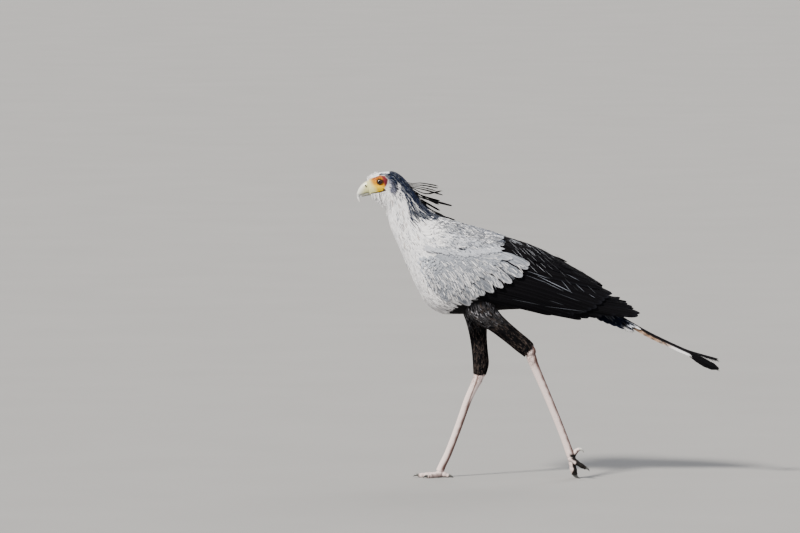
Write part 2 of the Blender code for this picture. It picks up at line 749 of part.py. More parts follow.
def foot(side, joint_place, toes, bends):
    """Four toes joined at the foot's joint, and a claw for each."""
    joint = place(*joint_place, side * FOOT_Y[side])
    name = f"foot_{SIDE_NAMES[side]}"
    middle = ball(name, joint, FOOT_BALL * MM, "leg", 10, 7)
    pieces = []
    for toe, places in toes.items():
        rings = toe_rings(places, joint, side)
        pieces.append(tube(f"{name}_{toe}", rings, "leg"))
        end = sum(rings[-1], Vector()) / len(rings[-1])
        way = (end - sum(rings[-2], Vector()) / len(rings[-2])).normalized()
        down, rise, bend = bends[toe]
        claw(f"claw_{SIDE_NAMES[side]}_{toe}", end + way * GAP, way, down, CLAWS[toe], rise, bend)
    combine(middle, pieces, "UNION")
    combine(middle, [shank_cutter(side), floor_block()], "DIFFERENCE")


def ball(name, centre, radius, material_name, segments, rows):
    rings = []
    for i in range(1, rows):
        angle = math.pi * i / rows
        turns = (2 * math.pi * k / segments for k in range(segments))
        width, level = radius * math.sin(angle), radius * math.cos(angle)
        rings.append([centre + Vector((width * math.cos(t), level, width * math.sin(t))) for t in turns])
    return tube(name, rings, material_name)


def eye_centre(side):
    depth = (body_half(*EYE) - EYE_RADIUS + EYE_SHOWS) * MM
    centre = place(*EYE)
    centre.y = side * depth
    return centre


def eyeball(name, side, grow):
    return ball(name, eye_centre(side), EYE_RADIUS * MM + grow, "eye", EYE_SEGMENTS, EYE_ROWS)


def ring_tube(name, path, radius, material_name, closed, sides=6):
    """A round bar along a path, or round a loop."""
    rings = []
    last = len(path) - 1
    for i, p in enumerate(path):
        ahead = path[(i + 1) % len(path)] if closed else path[min(i + 1, last)]
        behind = path[i - 1] if closed else path[max(i - 1, 0)]
        way = (ahead - behind).normalized()
        across = way.cross(Vector((0, 1, 0))).normalized()
        over = across.cross(way)
        turns = [2 * math.pi * k / sides for k in range(sides)]
        rings.append([p + (across * math.cos(t) + over * math.sin(t)) * radius for t in turns])
    if not closed:
        return tube(name, rings, material_name)
    points = [p for ring in rings for p in ring]
    faces = []
    for i in range(len(rings)):
        for k in range(sides):
            a, b = i * sides + k, i * sides + (k + 1) % sides
            c, d = ((i + 1) % len(rings)) * sides + (k + 1) % sides, ((i + 1) % len(rings)) * sides + k
            faces += [(a, b, c), (a, c, d)]
    return solid(name, points, faces, material_name)


def lid(side):
    """The raised rim of skin round an eye, lying on the head's own surface."""
    path = []
    for k in range(LID_POINTS):
        angle = 2 * math.pi * k / LID_POINTS
        x = EYE[0] + math.cos(angle) * LID_HALF_LENGTH * MM / PX
        z = EYE[1] - math.sin(angle) * LID_HALF_HEIGHT * MM / PX
        path.append(place(x, z, side * body_half(x, z)))
    return ring_tube(f"lid_{side}", path, LID_THICKNESS * MM, "face", True, 5)


def plume(index, row):
    """One long feather of the crest: narrow at its root and broader near its tip."""
    root, middle, tip, ys, half = row
    line = [(*p, y) for p, y in zip((root, middle, tip), ys)]
    centres = [place(x, z, y) for x, z, y in (along(line, t) for t in PLUME_STATIONS)]
    facing = Vector((PLUME_FACING[0], math.copysign(PLUME_FACING[1], ys[1]), PLUME_FACING[2])).normalized()
    widths = [half * MM * w for w in PLUME_WIDTHS]
    name = f"plume_{index}"
    return vane(name, centres, [facing] * len(centres), widths, QUILL_THICKNESS * MM, "plumage_black")


def head():
    rings = body_rings(0, HEAD_END, HEAD_RINGS, HEAD_SIDES)
    rings[-1] = shifted(rings[-1], -GAP / 2)
    obj = tube("head", rings, "plumage_grey")
    added = [lid(side) for side in (LEFT, RIGHT)]
    added += [plume(i, row) for i, row in enumerate(CREST)]
    combine(obj, added, "UNION")
    cutters = [eyeball(f"socket_{side}", side, GAP) for side in (LEFT, RIGHT)]
    for side in (LEFT, RIGHT):
        path = []
        for x, z in GAPE:
            path.append(place(x, z, side * body_half(x, z)))
        cutters.append(ring_tube(f"gape_{side}", path, GAPE_DEPTH * MM, "face", False))
    neck_rings = body_rings(HEAD_END, NECK_END, NECK_RINGS, HEAD_SIDES, GAP)
    neck_cutter = tube("neck_cutter", neck_rings, "plumage_white")
    combine(obj, cutters, "DIFFERENCE")
    combine(obj, [neck_cutter], "DIFFERENCE")
    for side in (LEFT, RIGHT):
        eyeball(f"eye_{SIDE_NAMES[side]}", side, 0.0)


def bill():
    upper_rings = [section(smooth(UPPER_BILL, i / 2), 14) for i in range(2 * len(UPPER_BILL) - 1)]
    upper_rings[0] = shifted(upper_rings[0], -GAP * 0.4)
    upper = tube("bill_upper", upper_rings, "bill")
    holes = []
    for side in (LEFT, RIGHT):
        middle = place(*NOSTRIL, side * NOSTRIL_Y)
        hole = ball(f"nostril_{side}", Vector(), 1.0, "bill", 10, 6)
        for v in hole.data.vertices:
            x, z = v.co.x * NOSTRIL_LENGTH / 2, v.co.z * NOSTRIL_WIDTH / 2
            turned = (
                x * math.cos(NOSTRIL_SLANT) - z * math.sin(NOSTRIL_SLANT),
                v.co.y * NOSTRIL_DEPTH,
                x * math.sin(NOSTRIL_SLANT) + z * math.cos(NOSTRIL_SLANT),
            )
            v.co = middle + Vector(turned) * MM
        holes.append(hole)
    combine(upper, holes, "DIFFERENCE")
    lower_rings = [section(smooth(LOWER_BILL, i / 2), 12) for i in range(2 * len(LOWER_BILL) - 1)]
    lower_rings[0] = shifted(lower_rings[0], -GAP * 0.4)
    tube("bill_lower", lower_rings, "bill")


def neck():
    rings = body_rings(HEAD_END, NECK_END, NECK_RINGS, HEAD_SIDES)
    rings[0] = shifted(rings[0], GAP / 2)
    rings[-1] = shifted(rings[-1], -GAP / 2)
    tube("neck", rings, "plumage_white")


def torso(name="torso", grow=0.0):
    """The torso, or the torso grown by the gap, which its neighbours are cut by."""
    rings = body_rings(NECK_END, TORSO_END, TORSO_RINGS, TORSO_SIDES, grow)
    rings[0] = shifted(rings[0], GAP / 2 - grow)
    rings[-1] = shifted(rings[-1], grow - GAP / 2)
    return tube(name, rings, "plumage_white")


def tail():
    """The root of the tail behind the rump, the side quills in pairs and the two long middle quills."""
    rows = (BODY[TORSO_END], *TAIL_CORE)
    rings = [section(smooth(rows, i / 2), 14) for i in range(2 * len(rows) - 1)]
    rings[0] = shifted(rings[0], GAP / 2)
    core = tube("tail", rings, "plumage_black")
    quills = []
    for i, (x, z, y, half) in enumerate(RECTRICES):
        for side in (LEFT, RIGHT):
            root_x, root_z = TAIL_ROOT[0], TAIL_ROOT[1] - TAIL_ROOT_RISE * i
            centres = []
            for t in TAIL_STATIONS:
                spread = y * t**TAIL_SPREAD + TAIL_ROOT_Y * (1 - t)
                bow = TAIL_BOW * 4 * t * (1 - t)
                along_x, along_z = root_x + (x - root_x) * t, root_z + (z - root_z) * t
                centres.append(place(along_x, along_z - bow, side * spread))
            facing = Vector((TAIL_FACING[0], TAIL_FACING[1] * side, TAIL_FACING[2])).normalized()
            facings = [facing] * len(centres)
            widths = [half * MM * w for w in TAIL_WIDTHS]
            name = f"rectrix_{i}_{side}"
            quills.append(vane(name, centres, facings, widths, QUILL_THICKNESS * MM, "plumage_black"))
    for side, line in STREAMERS.items():
        rows = [(*p, y, w) for p, y, w in zip(line, STREAMER_Y, STREAMER_WIDTHS)]
        stations = [smooth(rows, i / 2) for i in range(2 * len(rows) - 1)]
        centres = [place(x, z, side * y) for x, z, y, _ in stations]
        tilt = STREAMER_TILT[side]
        facing = Vector((STREAMER_LEAN, math.sin(tilt) * LEFT, math.cos(tilt))).normalized()
        facings = [facing] * len(centres)
        widths = [row[3] * MM for row in stations]
        name = f"streamer_{side}"
        quills.append(vane(name, centres, facings, widths, STREAMER_THICKNESS * MM, "plumage_black"))
    combine(core, quills, "UNION")


BODY_SECTIONS = body_sections(8)


def main():
    clear_scene()
    head()
    bill()
    neck()
    torso()
    for side in (LEFT, RIGHT):
        thigh(side, torso("torso_cutter", GAP))
        wing(side, [torso("torso_cutter", GAP), thigh_cutter(side)])
        shank(side)
    back, down = Vector((1, 0, 0)), Vector((0, 0, -1))
    standing, hanging = (down, CLAW_RISE, CLAW_BEND), (back, HANGING_RISE, HANGING_BEND)
    foot(RIGHT, PLANTED_JOINT, PLANTED_TOES, {toe: standing for toe in CLAWS})
    lifted = {"middle": hanging, "inner": hanging, "outer": standing, "hind": standing}
    foot(LEFT, LIFTED_JOINT, LIFTED_TOES, lifted)
    tail()


main()
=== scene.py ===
"""The looks of the walking secretary bird: one skin, its plumage, face, eyes, bill, legs and claws.

Places in the side view are in steps of PX, the size of one pixel of the side-on view, and widths,
thicknesses and depths are in millimetres, as in the part's source. The bird faces -X. All random draws
come from one seeded generator, in the order in which the pieces are made.
"""

import math

import bmesh
import bpy
import numpy as np
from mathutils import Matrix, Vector
from mathutils.kdtree import KDTree

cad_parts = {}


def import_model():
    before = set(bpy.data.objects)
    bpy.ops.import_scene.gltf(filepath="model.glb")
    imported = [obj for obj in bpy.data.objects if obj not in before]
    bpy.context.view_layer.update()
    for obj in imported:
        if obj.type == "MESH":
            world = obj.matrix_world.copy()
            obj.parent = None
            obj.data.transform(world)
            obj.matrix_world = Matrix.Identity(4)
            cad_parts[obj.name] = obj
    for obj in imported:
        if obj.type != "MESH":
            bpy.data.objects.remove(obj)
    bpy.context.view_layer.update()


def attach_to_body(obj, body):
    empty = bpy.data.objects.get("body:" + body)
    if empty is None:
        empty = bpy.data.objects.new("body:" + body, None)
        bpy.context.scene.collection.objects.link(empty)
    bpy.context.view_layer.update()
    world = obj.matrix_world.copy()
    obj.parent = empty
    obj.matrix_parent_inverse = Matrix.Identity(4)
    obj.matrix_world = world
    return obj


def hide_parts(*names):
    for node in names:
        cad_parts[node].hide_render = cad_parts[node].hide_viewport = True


TARSUS, TARSUS_STEPS = 0.31, 106
PX = TARSUS / TARSUS_STEPS
MIDDLE_STEP, FLOOR_STEP = 537.9, 478.5
MM = 0.001
LEFT, RIGHT = -1, 1
SIDE_NAMES = {LEFT: "left", RIGHT: "right"}
SIDES = tuple(SIDE_NAMES)
TURN = 2 * math.pi
UP, AHEAD = np.array((0.0, 0.0, 1.0)), np.array((-1.0, 0.0, 0.0))
draw = np.random.default_rng(20)

# Head, neck and torso: dorsal x, z, ventral x, z in steps, half width in mm, and how far the widest
# level lies towards the back (plus) or the belly (minus)
BODY = (
    (366.6, 181, 370.2, 195.2, 9.5, 0),
    (368.8, 178, 373.4, 195.6, 14.5, 0.1),
    (373, 174.8, 377, 195.8, 19.5, 0.2),
    (379, 172.8, 380.6, 196, 24, 0.25),
    (385.5, 171.8, 384.2, 197.2, 27.5, 0.2),
    (392.5, 172.1, 386.6, 200, 29, 0.1),
    (399, 175.2, 387.8, 205, 30, 0),
    (405, 180.6, 388.2, 211, 31, 0),
    (412, 189.5, 388.8, 218, 33, 0),
    (419.5, 199, 390.8, 226.5, 37, 0),
    (428, 208.5, 395.2, 237.5, 45, 0),
    (438, 215.5, 400.6, 249.5, 56, 0),
    (448, 220, 406.6, 262.5, 72, 0),
    (458.5, 223.4, 412.4, 276.5, 84, 0),
    (471, 226.8, 419.2, 290.5, 91, -0.05),
    (485, 230.6, 428.4, 303.5, 94, -0.08),
    (500, 235.4, 441, 311.6, 96, -0.1),
    (516, 242, 457.4, 313.4, 92, -0.1),
    (531, 250, 476.6, 312.4, 84, -0.1),
    (545, 259, 498, 309.6, 72, 0),
    (558, 268.5, 520, 308.4, 56, 0),
    (570, 278.5, 541, 306.8, 39, 0),
    (579, 287.5, 560, 305, 26, 0),
    (586, 293.5, 570, 308, 21, 0),
    (594, 301, 583, 312.5, 14, 0),
    (600, 307.5, 594, 314.5, 6, 0),
)
BODY_LAST = len(BODY) - 1.0
# How far the skin lies inside the plumage's surface, in mm, by rows of the body
SKIN_DEPTH = (0, 0, 0, 0.6, 1.6, 2.2, 2.6, 3.0, 3.5, 4, 5, 6, 7, 8, 8, 8, 8, 8, 7, 6, 5, 4, 3, 2, 2, 1)
# Rows of the body over which the widths of the side view are looked up
WIDTH_ROWS = 22

# Folded plumage over the flank: x, top, bottom in steps, half width in mm, by upright sections
FLANK = (
    (400, 203, 256, 48),
    (420, 208.5, 288, 76),
    (440, 216, 309, 95),
    (470, 224, 318.5, 106),
    (500, 232.5, 320.5, 107),
    (530, 241.5, 321, 96),
    (560, 257.5, 324, 79),
    (590, 274, 329, 62),
    (620, 295, 332, 48),
    (650, 308, 334, 38),
)
FLANK_EDGE_LEVEL = 0.97
PLUMAGE_OVER_BODY = 7.0

# Bill: ridge x, z, edge x, z in steps, half width in mm, and how far the widest level lies up
UPPER_BILL = (
    (366.4, 180.9, 369.4, 192.9, 9.2, 0.15),
    (363, 183.2, 366.2, 193.3, 8.2, 0.15),
    (359.9, 186.6, 363, 194.6, 6.8, 0.15),
    (357.9, 190.4, 360.6, 195.4, 5.2, 0.1),
    (356.9, 194.6, 359.8, 196.9, 3.8, 0),
    (357.6, 198.8, 359.9, 198.7, 2.6, 0),
    (359.4, 201.8, 360.1, 201.4, 1, 0),
)
LOWER_BILL = (
    (369.5, 193.1, 370.1, 195.2, 8, 0),
    (366.6, 193.7, 367.2, 195.5, 6.6, 0),
    (363.6, 194.7, 364.2, 196.2, 4.6, 0),
    (361.4, 195.6, 361.8, 196.5, 2.4, 0),
)
NOSTRIL = (366.0, 185.8)
NOSTRIL_ALONG, NOSTRIL_ACROSS = (0.55, 0.84), (0.84, 0.55)
EYE = (379.9, 181.1)
EYE_RADIUS, EYE_SHOWS = 10.2, 3.7
# The eyelid's half length and half height, its thickness, and the opening in it
LID_LENGTH, LID_HEIGHT, LID_THICKNESS = 9.3, 7.7, 1.25
LID_OPENING = (8.0, 6.5)
GAPE = ((371.5, 193), (376, 192.2), (381, 191.2), (384.6, 189.9))
GAPE_DEPTH = 1.1

# Thighs: front x, z, back x, z in steps and half width in mm
THIGH = {
    LEFT: (
        (463, 301, 495, 293, 30),
        (467, 314, 495.6, 303.6, 31),
        (478, 323.5, 500, 312, 29),
        (489.5, 329.5, 508, 320.4, 26),
        (503, 339.4, 520, 331, 22.5),
        (515.5, 349.6, 531.4, 340.6, 19),
        (523.5, 355.6, 536, 347.4, 15.5),
    ),
    RIGHT: (
        (458, 300, 496, 298, 30),
        (461.5, 311, 492.5, 311.5, 29),
        (466, 323, 488, 324, 27),
        (469.5, 337, 487.2, 337.5, 24.5),
        (471.8, 352, 488.2, 352, 22),
        (472.8, 365, 489.2, 365, 19),
        (473.4, 377, 486.4, 376.4, 14.5),
    ),
}
HIP_Y, ANKLE_Y = 47.0, 37.0
FOOT_Y = {LEFT: 26.0, RIGHT: 10.0}
# Tarsi: middle x, z in steps, half depth and half width in mm
SHANK = {
    LEFT: (
        (529.6, 350.4, 13.5, 10.5),
        (532.2, 359, 14, 11),
        (534.9, 366.5, 12.2, 9),
        (544.7, 389.4, 10.8, 7.2),
        (555.3, 414.8, 10.2, 6.8),
        (563.4, 435.4, 10.2, 7),
        (568, 448, 10.6, 8),
        (571, 456, 11.4, 10.6),
    ),
    RIGHT: (
        (480.6, 372, 15.6, 11.6),
        (477.7, 381, 14.4, 11),
        (474, 388, 12.2, 9),
        (467.2, 403, 10.6, 7.2),
        (458.5, 427.6, 10, 6.8),
        (448.8, 453, 10, 7),
        (442.6, 466, 10.4, 8.4),
        (440, 472.2, 11.4, 10.8),
    ),
}
# Pitch in mm of the scutes down the front of the tarsus and of the small scales behind, and how many
# of the small ones go round it
SCUTE_PITCH, SCALE_PITCH, SCALES_ROUND = 6.2, 2.6, 14
RUN_SAMPLES = 200

# Toes: places along each toe from the foot's joint, in mm from it (ahead of the bird, outwards, up),
# with a radius at each place
JOINTS = {RIGHT: (440.0, 474.6), LEFT: (571.8, 458.4)}
TOES = {
    RIGHT: {
        "middle": (
            (0, 0, -2, 9.5), (18, 0, -5, 8.2), (38, 0, -5.4, 7.8), (54, 0, -5.8, 6.8), (62, 0, -5.6, 5.6),
        ),
        "inner": ((0, -3, -2, 9.0), (14, -12, -5, 7.6), (28, -22, -5.6, 7.0), (37, -29, -5.8, 5.4)),
        "outer": ((0, 3, -2, 9.0), (15, 13, -5, 7.4), (30, 23, -5.6, 6.8), (40, 30, -5.8, 5.4)),
        "hind": ((0, -1, 0, 8.0), (-14, -4, -3.0, 6.8), (-26, -7, -6.2, 5.0)),
    },
    LEFT: {
        "middle": ((0, 0, 0, 9.5), (-4, 0, -18, 8.4), (-8, 0, -35, 7.6), (-12, 0, -47.8, 5.8)),
        "inner": ((0, -4, 0, 8.6), (0, -10, -16, 7.4), (-2, -14, -33, 6.8), (-6, -16, -47.6, 5.4)),
        "outer": ((0, 4, 0, 8.6), (-14, 9, -11, 7.4), (-30, 13, -21, 6.6), (-41, 15, -27, 5.0)),
        "hind": ((-2, -1, 4, 8.0), (-12, -3, 20, 6.6), (-22, -5, 27, 5.2)),
    },
}
# Scutes on top and pebbles below for each joint of a toe, and pebbles round it
SCUTES_A_JOINT, PEBBLES_A_JOINT, PEBBLES_ROUND = 4, 8, 12
FOOT_BALL = 12.0
ANKLES = {LEFT: (530.2, 350.8, 16.6), RIGHT: (480.4, 374.6, 15.8)}
# Claws: length and radius in mm, then for claws that stand on the ground, hang or arch over it, how
# far they rise as they leave the toe and how far they bend, in radians
CLAWS = {"middle": (20, 4.8), "inner": (20, 4.6), "outer": (17, 4.4), "hind": (21, 4.6)}
STANDING, HANGING, ARCHING = (0.42, 1.35), (0.0, 1.1), (-0.2, 1.9)

# Outlines in the side view: the bare face and its colours, then the head's markings
FACE = (
    (364, 178), (370, 178.2), (374, 176.6), (379, 174.6), (384.5, 175.2), (388.2, 178.8), (387.4, 183.2),
    (384.6, 187.4), (386, 190.2), (379.5, 192.4), (372, 193.8), (364, 195),
)
CERE = (
    (358, 174), (369.4, 178.4), (371.2, 182), (373.2, 185.5), (376, 188.5), (377, 192.6), (366, 198),
    (358, 198),
)
CHEEK = ((371, 184.6), (376, 184.4), (386.5, 186.4), (385.5, 191), (378.7, 192.8), (370, 193.4))
RED = ((381, 174.8), (388.4, 176.6), (388.8, 182.8), (386, 186.6), (383.4, 181.6), (382.6, 178.2))
BROW = ((372.5, 178.4), (376, 175.2), (382, 174.6), (384, 176.8), (379, 177.4), (374.5, 180.4))
BROW_LINE = (
    (372, 179), (374.6, 176.8), (379, 175.8), (384, 175.6), (384, 176.2), (379.2, 176.5), (375.2, 177.5),
    (372.8, 179.3),
)
MOUTH_END = ((382.8, 187.6), (386.2, 188.6), (386, 191.2), (383, 190.4))
BILL_EDGE = ((356, 193.6), (360.7, 193.4), (367.6, 191.6), (371, 191.8), (371, 196.4), (358, 197))
NAPE = (
    (389.5, 168), (402, 168), (442, 210), (434, 216), (421, 214.6), (414, 217), (409.5, 219.6),
    (408, 206), (405, 197), (403, 191), (401, 185.6), (398.4, 181.6), (394.5, 179.4), (391, 179.6),
    (388.4, 178.2), (386, 176), (384, 174.4), (389, 173.6),
)
EAR = (
    (388.8, 177.6), (392.6, 176.4), (397, 179.4), (397.4, 188), (396, 192.4), (392.4, 193.6),
    (389.6, 189.6),
)
NECK_SIDE = (
    (380, 193), (390, 192), (402, 194), (408, 214), (428, 217), (436, 228), (430, 250), (416, 254),
    (420, 276), (440, 300), (424, 292), (408, 266), (399, 240), (396, 222), (390, 206),
)
# The markings of the body, and the regions of its feathers
MANTLE = (
    (428, 216), (440, 211), (470, 219), (515, 231), (508.6, 237), (504.4, 242), (496, 248.4),
    (486, 246.2), (468.7, 249.5), (452, 247.5), (435, 244.2), (424, 232),
)
BLACK_BACK = (
    (508.6, 234), (515, 230), (620, 270), (700, 350), (560, 330), (462, 312), (468.7, 299.5),
    (484.4, 289.9), (506.5, 282.6), (525.5, 268.9), (536, 263), (520, 256), (497, 249), (504.4, 242),
)
BELLY = ((441, 317), (445, 304), (458, 299.5), (520, 300), (620, 300), (640, 340), (500, 400), (452, 400))
WING_COVER = (
    (432, 252), (470, 246), (520, 262), (560, 282), (540, 302), (476, 296), (448, 288), (430, 272),
)
LESSER = (
    (412.5, 256), (418, 253.6), (432, 253), (438, 246.5), (468, 250), (492, 247.5), (500, 254),
    (486, 262), (466, 272), (452, 284), (444, 294), (434, 290), (422, 280), (415.5, 267),
)
STREAKED = (
    (418, 262), (440, 258), (470, 256), (500, 254), (524, 262), (516, 270), (490, 284), (462, 298),
    (446, 296), (426, 282),
)
SCAPULARS = ((497, 238), (508, 238), (524, 243), (548, 254), (556, 264), (534, 258), (503, 245.5))
BLACK_STREAKS = ((506, 240), (530, 242), (560, 256), (600, 282), (588, 292), (545, 276), (511, 250))
MANTLE_FLANK = (
    (424, 214), (440, 216.5), (470, 227), (496, 235), (496, 241), (488, 243), (468.7, 246), (450, 244),
    (432, 240), (420, 228),
)
MOTTLED = (
    (424, 214), (440, 216.5), (470, 227), (500, 236), (502, 242), (494, 247), (484, 247), (468.7, 250.5),
    (450, 249), (432, 245), (420, 230),
)
TAIL_PATCH = ((629, 320), (636, 321), (645, 328), (641, 331), (630, 325.6))
# Where the trousers leave the ankle bare on the outer side
KNOBS = {
    LEFT: ((525.6, 350), (528.6, 345.6), (530, 340), (537.5, 345), (538, 362), (520, 362)),
    RIGHT: (
        (470, 371), (475.4, 371), (477.4, 376.5), (481, 378), (484, 374), (490, 372), (490, 384), (470, 384),
    ),
}
# Lines in the side view: the mantle's lower edge, and levels or other values by x
MANTLE_EDGE = ((424, 244), (436, 245.4), (450, 247.6), (466, 249), (482, 246.6), (496, 244.6))
MANTLE_TOP = ((424, 448, 490), (214, 220, 231))
MANTLE_LOW = ((432, 450, 469, 488, 496), (240, 244, 246, 243, 241))
BACK_TOP = (
    (480, 500, 508.6, 526.5, 542.3, 560, 583.7, 602), (229.5, 235, 237.5, 243, 249.6, 259.5, 273, 284),
)
BACK_REACH = ((480, 520, 560, 600), (34, 34, 30, 20))
BROW_LEVEL = ((378, 385, 391), (174.2, 173.9, 174.6))
NECK_DROOP = ((380, 400, 425), (1.45, 1.25, 0.8))
# A dark line down the planted leg: x by z
LEG_LINE = ((374, 384, 398, 410), (478.6, 476.2, 470.6, 466.4))
# The x, in steps, between the planted leg ahead of it and the lifted one behind it
LEGS_PART = 505

# Long pale hackles down the side of the neck: where they start, in steps, and how long in mm
PALE_HACKLES = (
    (404.6, 189.4, 50), (406.2, 190.6, 60), (405.6, 194.0, 44), (408.4, 193.6, 62), (410.0, 197.8, 52),
    (407.6, 199.0, 34), (412.4, 199.8, 48), (414.6, 204.2, 40), (411.0, 205.0, 30), (408.6, 212.0, 22),
)
# Pale shafts with painted sheen over the black feathers: from x, z to x, z in steps, and how bright
LONG_STREAKS = (
    (537.0, 273.8, 572.5, 291.4, 1.3), (540.0, 278.0, 563.0, 289.4, 0.6), (527.0, 269.0, 549.0, 277.0, 0.7),
    (526.0, 273.0, 546.0, 281.0, 0.4), (561.0, 279.0, 571.0, 291.0, 0.7), (566.0, 273.0, 578.8, 279.8, 0.6),
    (575.0, 282.4, 584.0, 290.8, 0.6), (588.5, 292.8, 594.6, 296.8, 0.5), (549.0, 298.4, 564.0, 303.2, 0.25),
    (512.0, 296.8, 540.0, 302.6, 0.3), (545.0, 304.2, 584.0, 309.6, 0.4), (556.0, 291.0, 580.0, 300.0, 0.2),
)
# Each tier of large wing feathers: its line of roots and its line of tips in steps, the depths in mm at the
# roots, at the first tip and at the last, half width in mm, number, bow in steps, stations, points across,
# tilt, wander in steps, and where its round end starts
TIERS = {
    "primary": (
        ((474, 296.0), (482, 292.0), (490, 287.0)),
        (
            (575.0, 317.8), (585.0, 318.2), (608.0, 315.2), (627.0, 314.8), (641.4, 313.0), (631.5, 303.4),
            (620.6, 296.4),
        ),
        (11.0, 5.5, 8.5), 13.0, 11, 1.0, 24, 5, 0.10, 0.6, 0.93,
    ),
    "secondary": (
        ((468, 294.0), (482, 286.0), (500, 275.0), (512, 263.0)),
        ((548.0, 314.0), (575.0, 314.0), (597.0, 306.0), (612.6, 292.0)),
        (7.5, 2.0, 3.8), 15.0, 13, 2.0, 24, 5, 0.12, 0.6, 0.92,
    ),
    "tertial": (
        ((506, 264.0), (502, 256.0), (498, 248.0), (492, 241.0)),
        ((603.0, 286.6), (588.0, 277.6), (570.0, 266.6), (550.0, 254.6)),
        (5.0, -0.4, 0.6), 15.0, 8, 3.0, 20, 5, 0.10, 0.6, 0.88,
    ),
    "greater": (
        ((446, 281.0), (460, 268.0), (482, 257.0), (502, 249.0)),
        (
            (467.5, 303.5), (475.5, 297.0), (484.9, 291.9), (494.6, 289.4), (503.0, 285.4),
            (510.9, 280.6), (521.4, 275.6), (527.6, 269.0), (530.0, 263.8),
        ),
        (5.0, -0.6, -1.4), 14.5, 9, 1.0, 18, 11, 0.22, 0.8, 0.84,
    ),
    "median": (
        ((436, 275.0), (448, 262.0), (466, 251.5), (484, 246.0)),
        ((456.0, 292.0), (472.0, 281.0), (492.0, 270.0), (512.0, 256.0)),
        (3.6, -1.9, -1.9), 10.0, 12, 1.0, 14, 7, 0.2, 0.8, 0.76,
    ),
    "upper_median": (
        ((428, 268.0), (438, 256.0), (454, 249.5), (474, 247.0)),
        ((446.0, 284.0), (461.0, 272.0), (480.0, 262.0), (500.0, 252.5)),
        (2.6, -2.4, -2.4), 8.5, 13, 0.6, 12, 5, 0.18, 1.0, 0.74,
    ),
}
# Crest plumes seen in the photo, near side first, then those of the far side: places along each in steps,
# its distances from the middle plane in mm at the root, the middle and the tip, and its widest half in mm
PLUMES = (
    (((400, 180), (411.3, 183.0), (420.9, 182.6), (432.8, 184.4), (437.0, 185.4)), (-4, -9, -13), 2.0),
    (((402, 184), (415.6, 185.9), (426.0, 187.6), (435.2, 190.0)), (-8, -15, -20), 1.8),
    (
        ((402, 184), (413.2, 187.9), (419.5, 191.2), (426.7, 193.0), (433.8, 191.8), (441.5, 190.0)),
        (-11, -21, -27), 2.6,
    ),
    (
        ((402, 186), (413.8, 191.9), (420.5, 196.6), (430.8, 199.6), (442.4, 202.6), (452.0, 205.2)),
        (-9, -15, -17), 3.6,
    ),
    (((403, 187), (412.9, 194.0), (421.8, 201.0), (426.5, 205.0)), (-7, -12, -14), 3.6),
    (
        (
            (405, 190), (412.0, 192.0), (419.5, 198.0), (428.0, 207.0), (438.0, 213.6), (447.0, 217.2),
            (455.0, 219.6),
        ),
        (-8, -10, -7), 3.2,
    ),
    (((402, 185), (414.0, 190.4), (424.0, 197.0), (434.0, 201.8), (438.8, 203.8)), (-5, -8, -9), 2.8),
    (((401, 182), (412.0, 184.6), (424.0, 185.4), (438.0, 188.2)), (5, 11, 15), 2.2),
    (((402, 184), (414.0, 187.6), (427.0, 190.6), (443.0, 195.4)), (10, 20, 26), 2.6),
    (((402, 187), (415.0, 192.8), (427.0, 197.4), (440.0, 201.2)), (9, 17, 22), 3.2),
    (((403, 188), (414.0, 194.6), (424.0, 201.4), (440.0, 210.6)), (6, 11, 12), 3.8),
    (((404, 189), (417.0, 200.2), (428.0, 208.4), (444.0, 216.0)), (3, 6, 6), 4.0),
)
# Short tail feathers: tip x, z in steps, and distance from the middle plane and half width in mm
RECTRICES = (
    (596.0, 317.4, 24.0, 9.0),
    (603.0, 320.4, 22.0, 10.0),
    (610.0, 323.0, 20.0, 11.0),
    (617.0, 325.4, 17.0, 12.0),
    (625.0, 328.2, 14.0, 12.5),
    (634.0, 330.6, 10.0, 13.0),
)
TAIL_ROOT, TAIL_ROOT_Y, TAIL_BOW = (579.0, 303.0), 3.0, 1.5
STREAMERS = {
    LEFT: (
        (580, 294.5), (600, 306), (625, 320.5), (650, 335), (675, 347), (692, 355),
        (706, 362.8), (719, 368.8),
    ),
    RIGHT: (
        (580, 293.5), (600, 304), (625, 319), (650, 333), (675, 345), (690, 351.4),
        (706, 356.4), (718.8, 359.6),
    ),
}
# Half widths in mm by place along the tail, and distances from the middle plane along each feather
STREAMER_WIDTHS = (
    (580, 600, 650, 675, 689, 697, 706, 713, 719), (5.0, 9.0, 9.0, 8.0, 7.4, 12.0, 14.0, 12.0, 3.5),
)
STREAMER_Y = (4.0, 8.0, 10.5, 11.0, 11.0, 12.0, 13.0, 13.0)

# How many there are of each kind of loose feather
MOTTLES, HACKLES, EAR_FEATHERS, BROW_FEATHERS, BEARD, FOREHEAD = 1500, 2600, 1300, 90, 640, 240
BREAST_TUFTS, SEAM_FEATHERS, BACK_STREAKS, PLUME_BARBS, LASHES = 700, 420, 110, 14, 20
TAIL_COVERTS, COMB_BARBS, ROOT_FEATHERS = 520, 150, 4

# The size of a tuft's patch on the unwrap, and of a large feather's cell
PATCH, CELL, CELL_COLUMNS = 0.003, (0.032, 0.06), 30
# Patches of the unwrap for whole small pieces, for cut faces and for the eye sockets
WHOLE_PATCH, CUT_PATCH = (0.05, 0.05, 0.95, 0.95), (0.9, 0.9, 0.95, 0.95)
SOCKET_PATCH = (0.9, 0.9, 0.99, 0.99)
# A step whose multiples, without their whole parts, spread evenly between 0 and 1
GOLDEN = 0.618

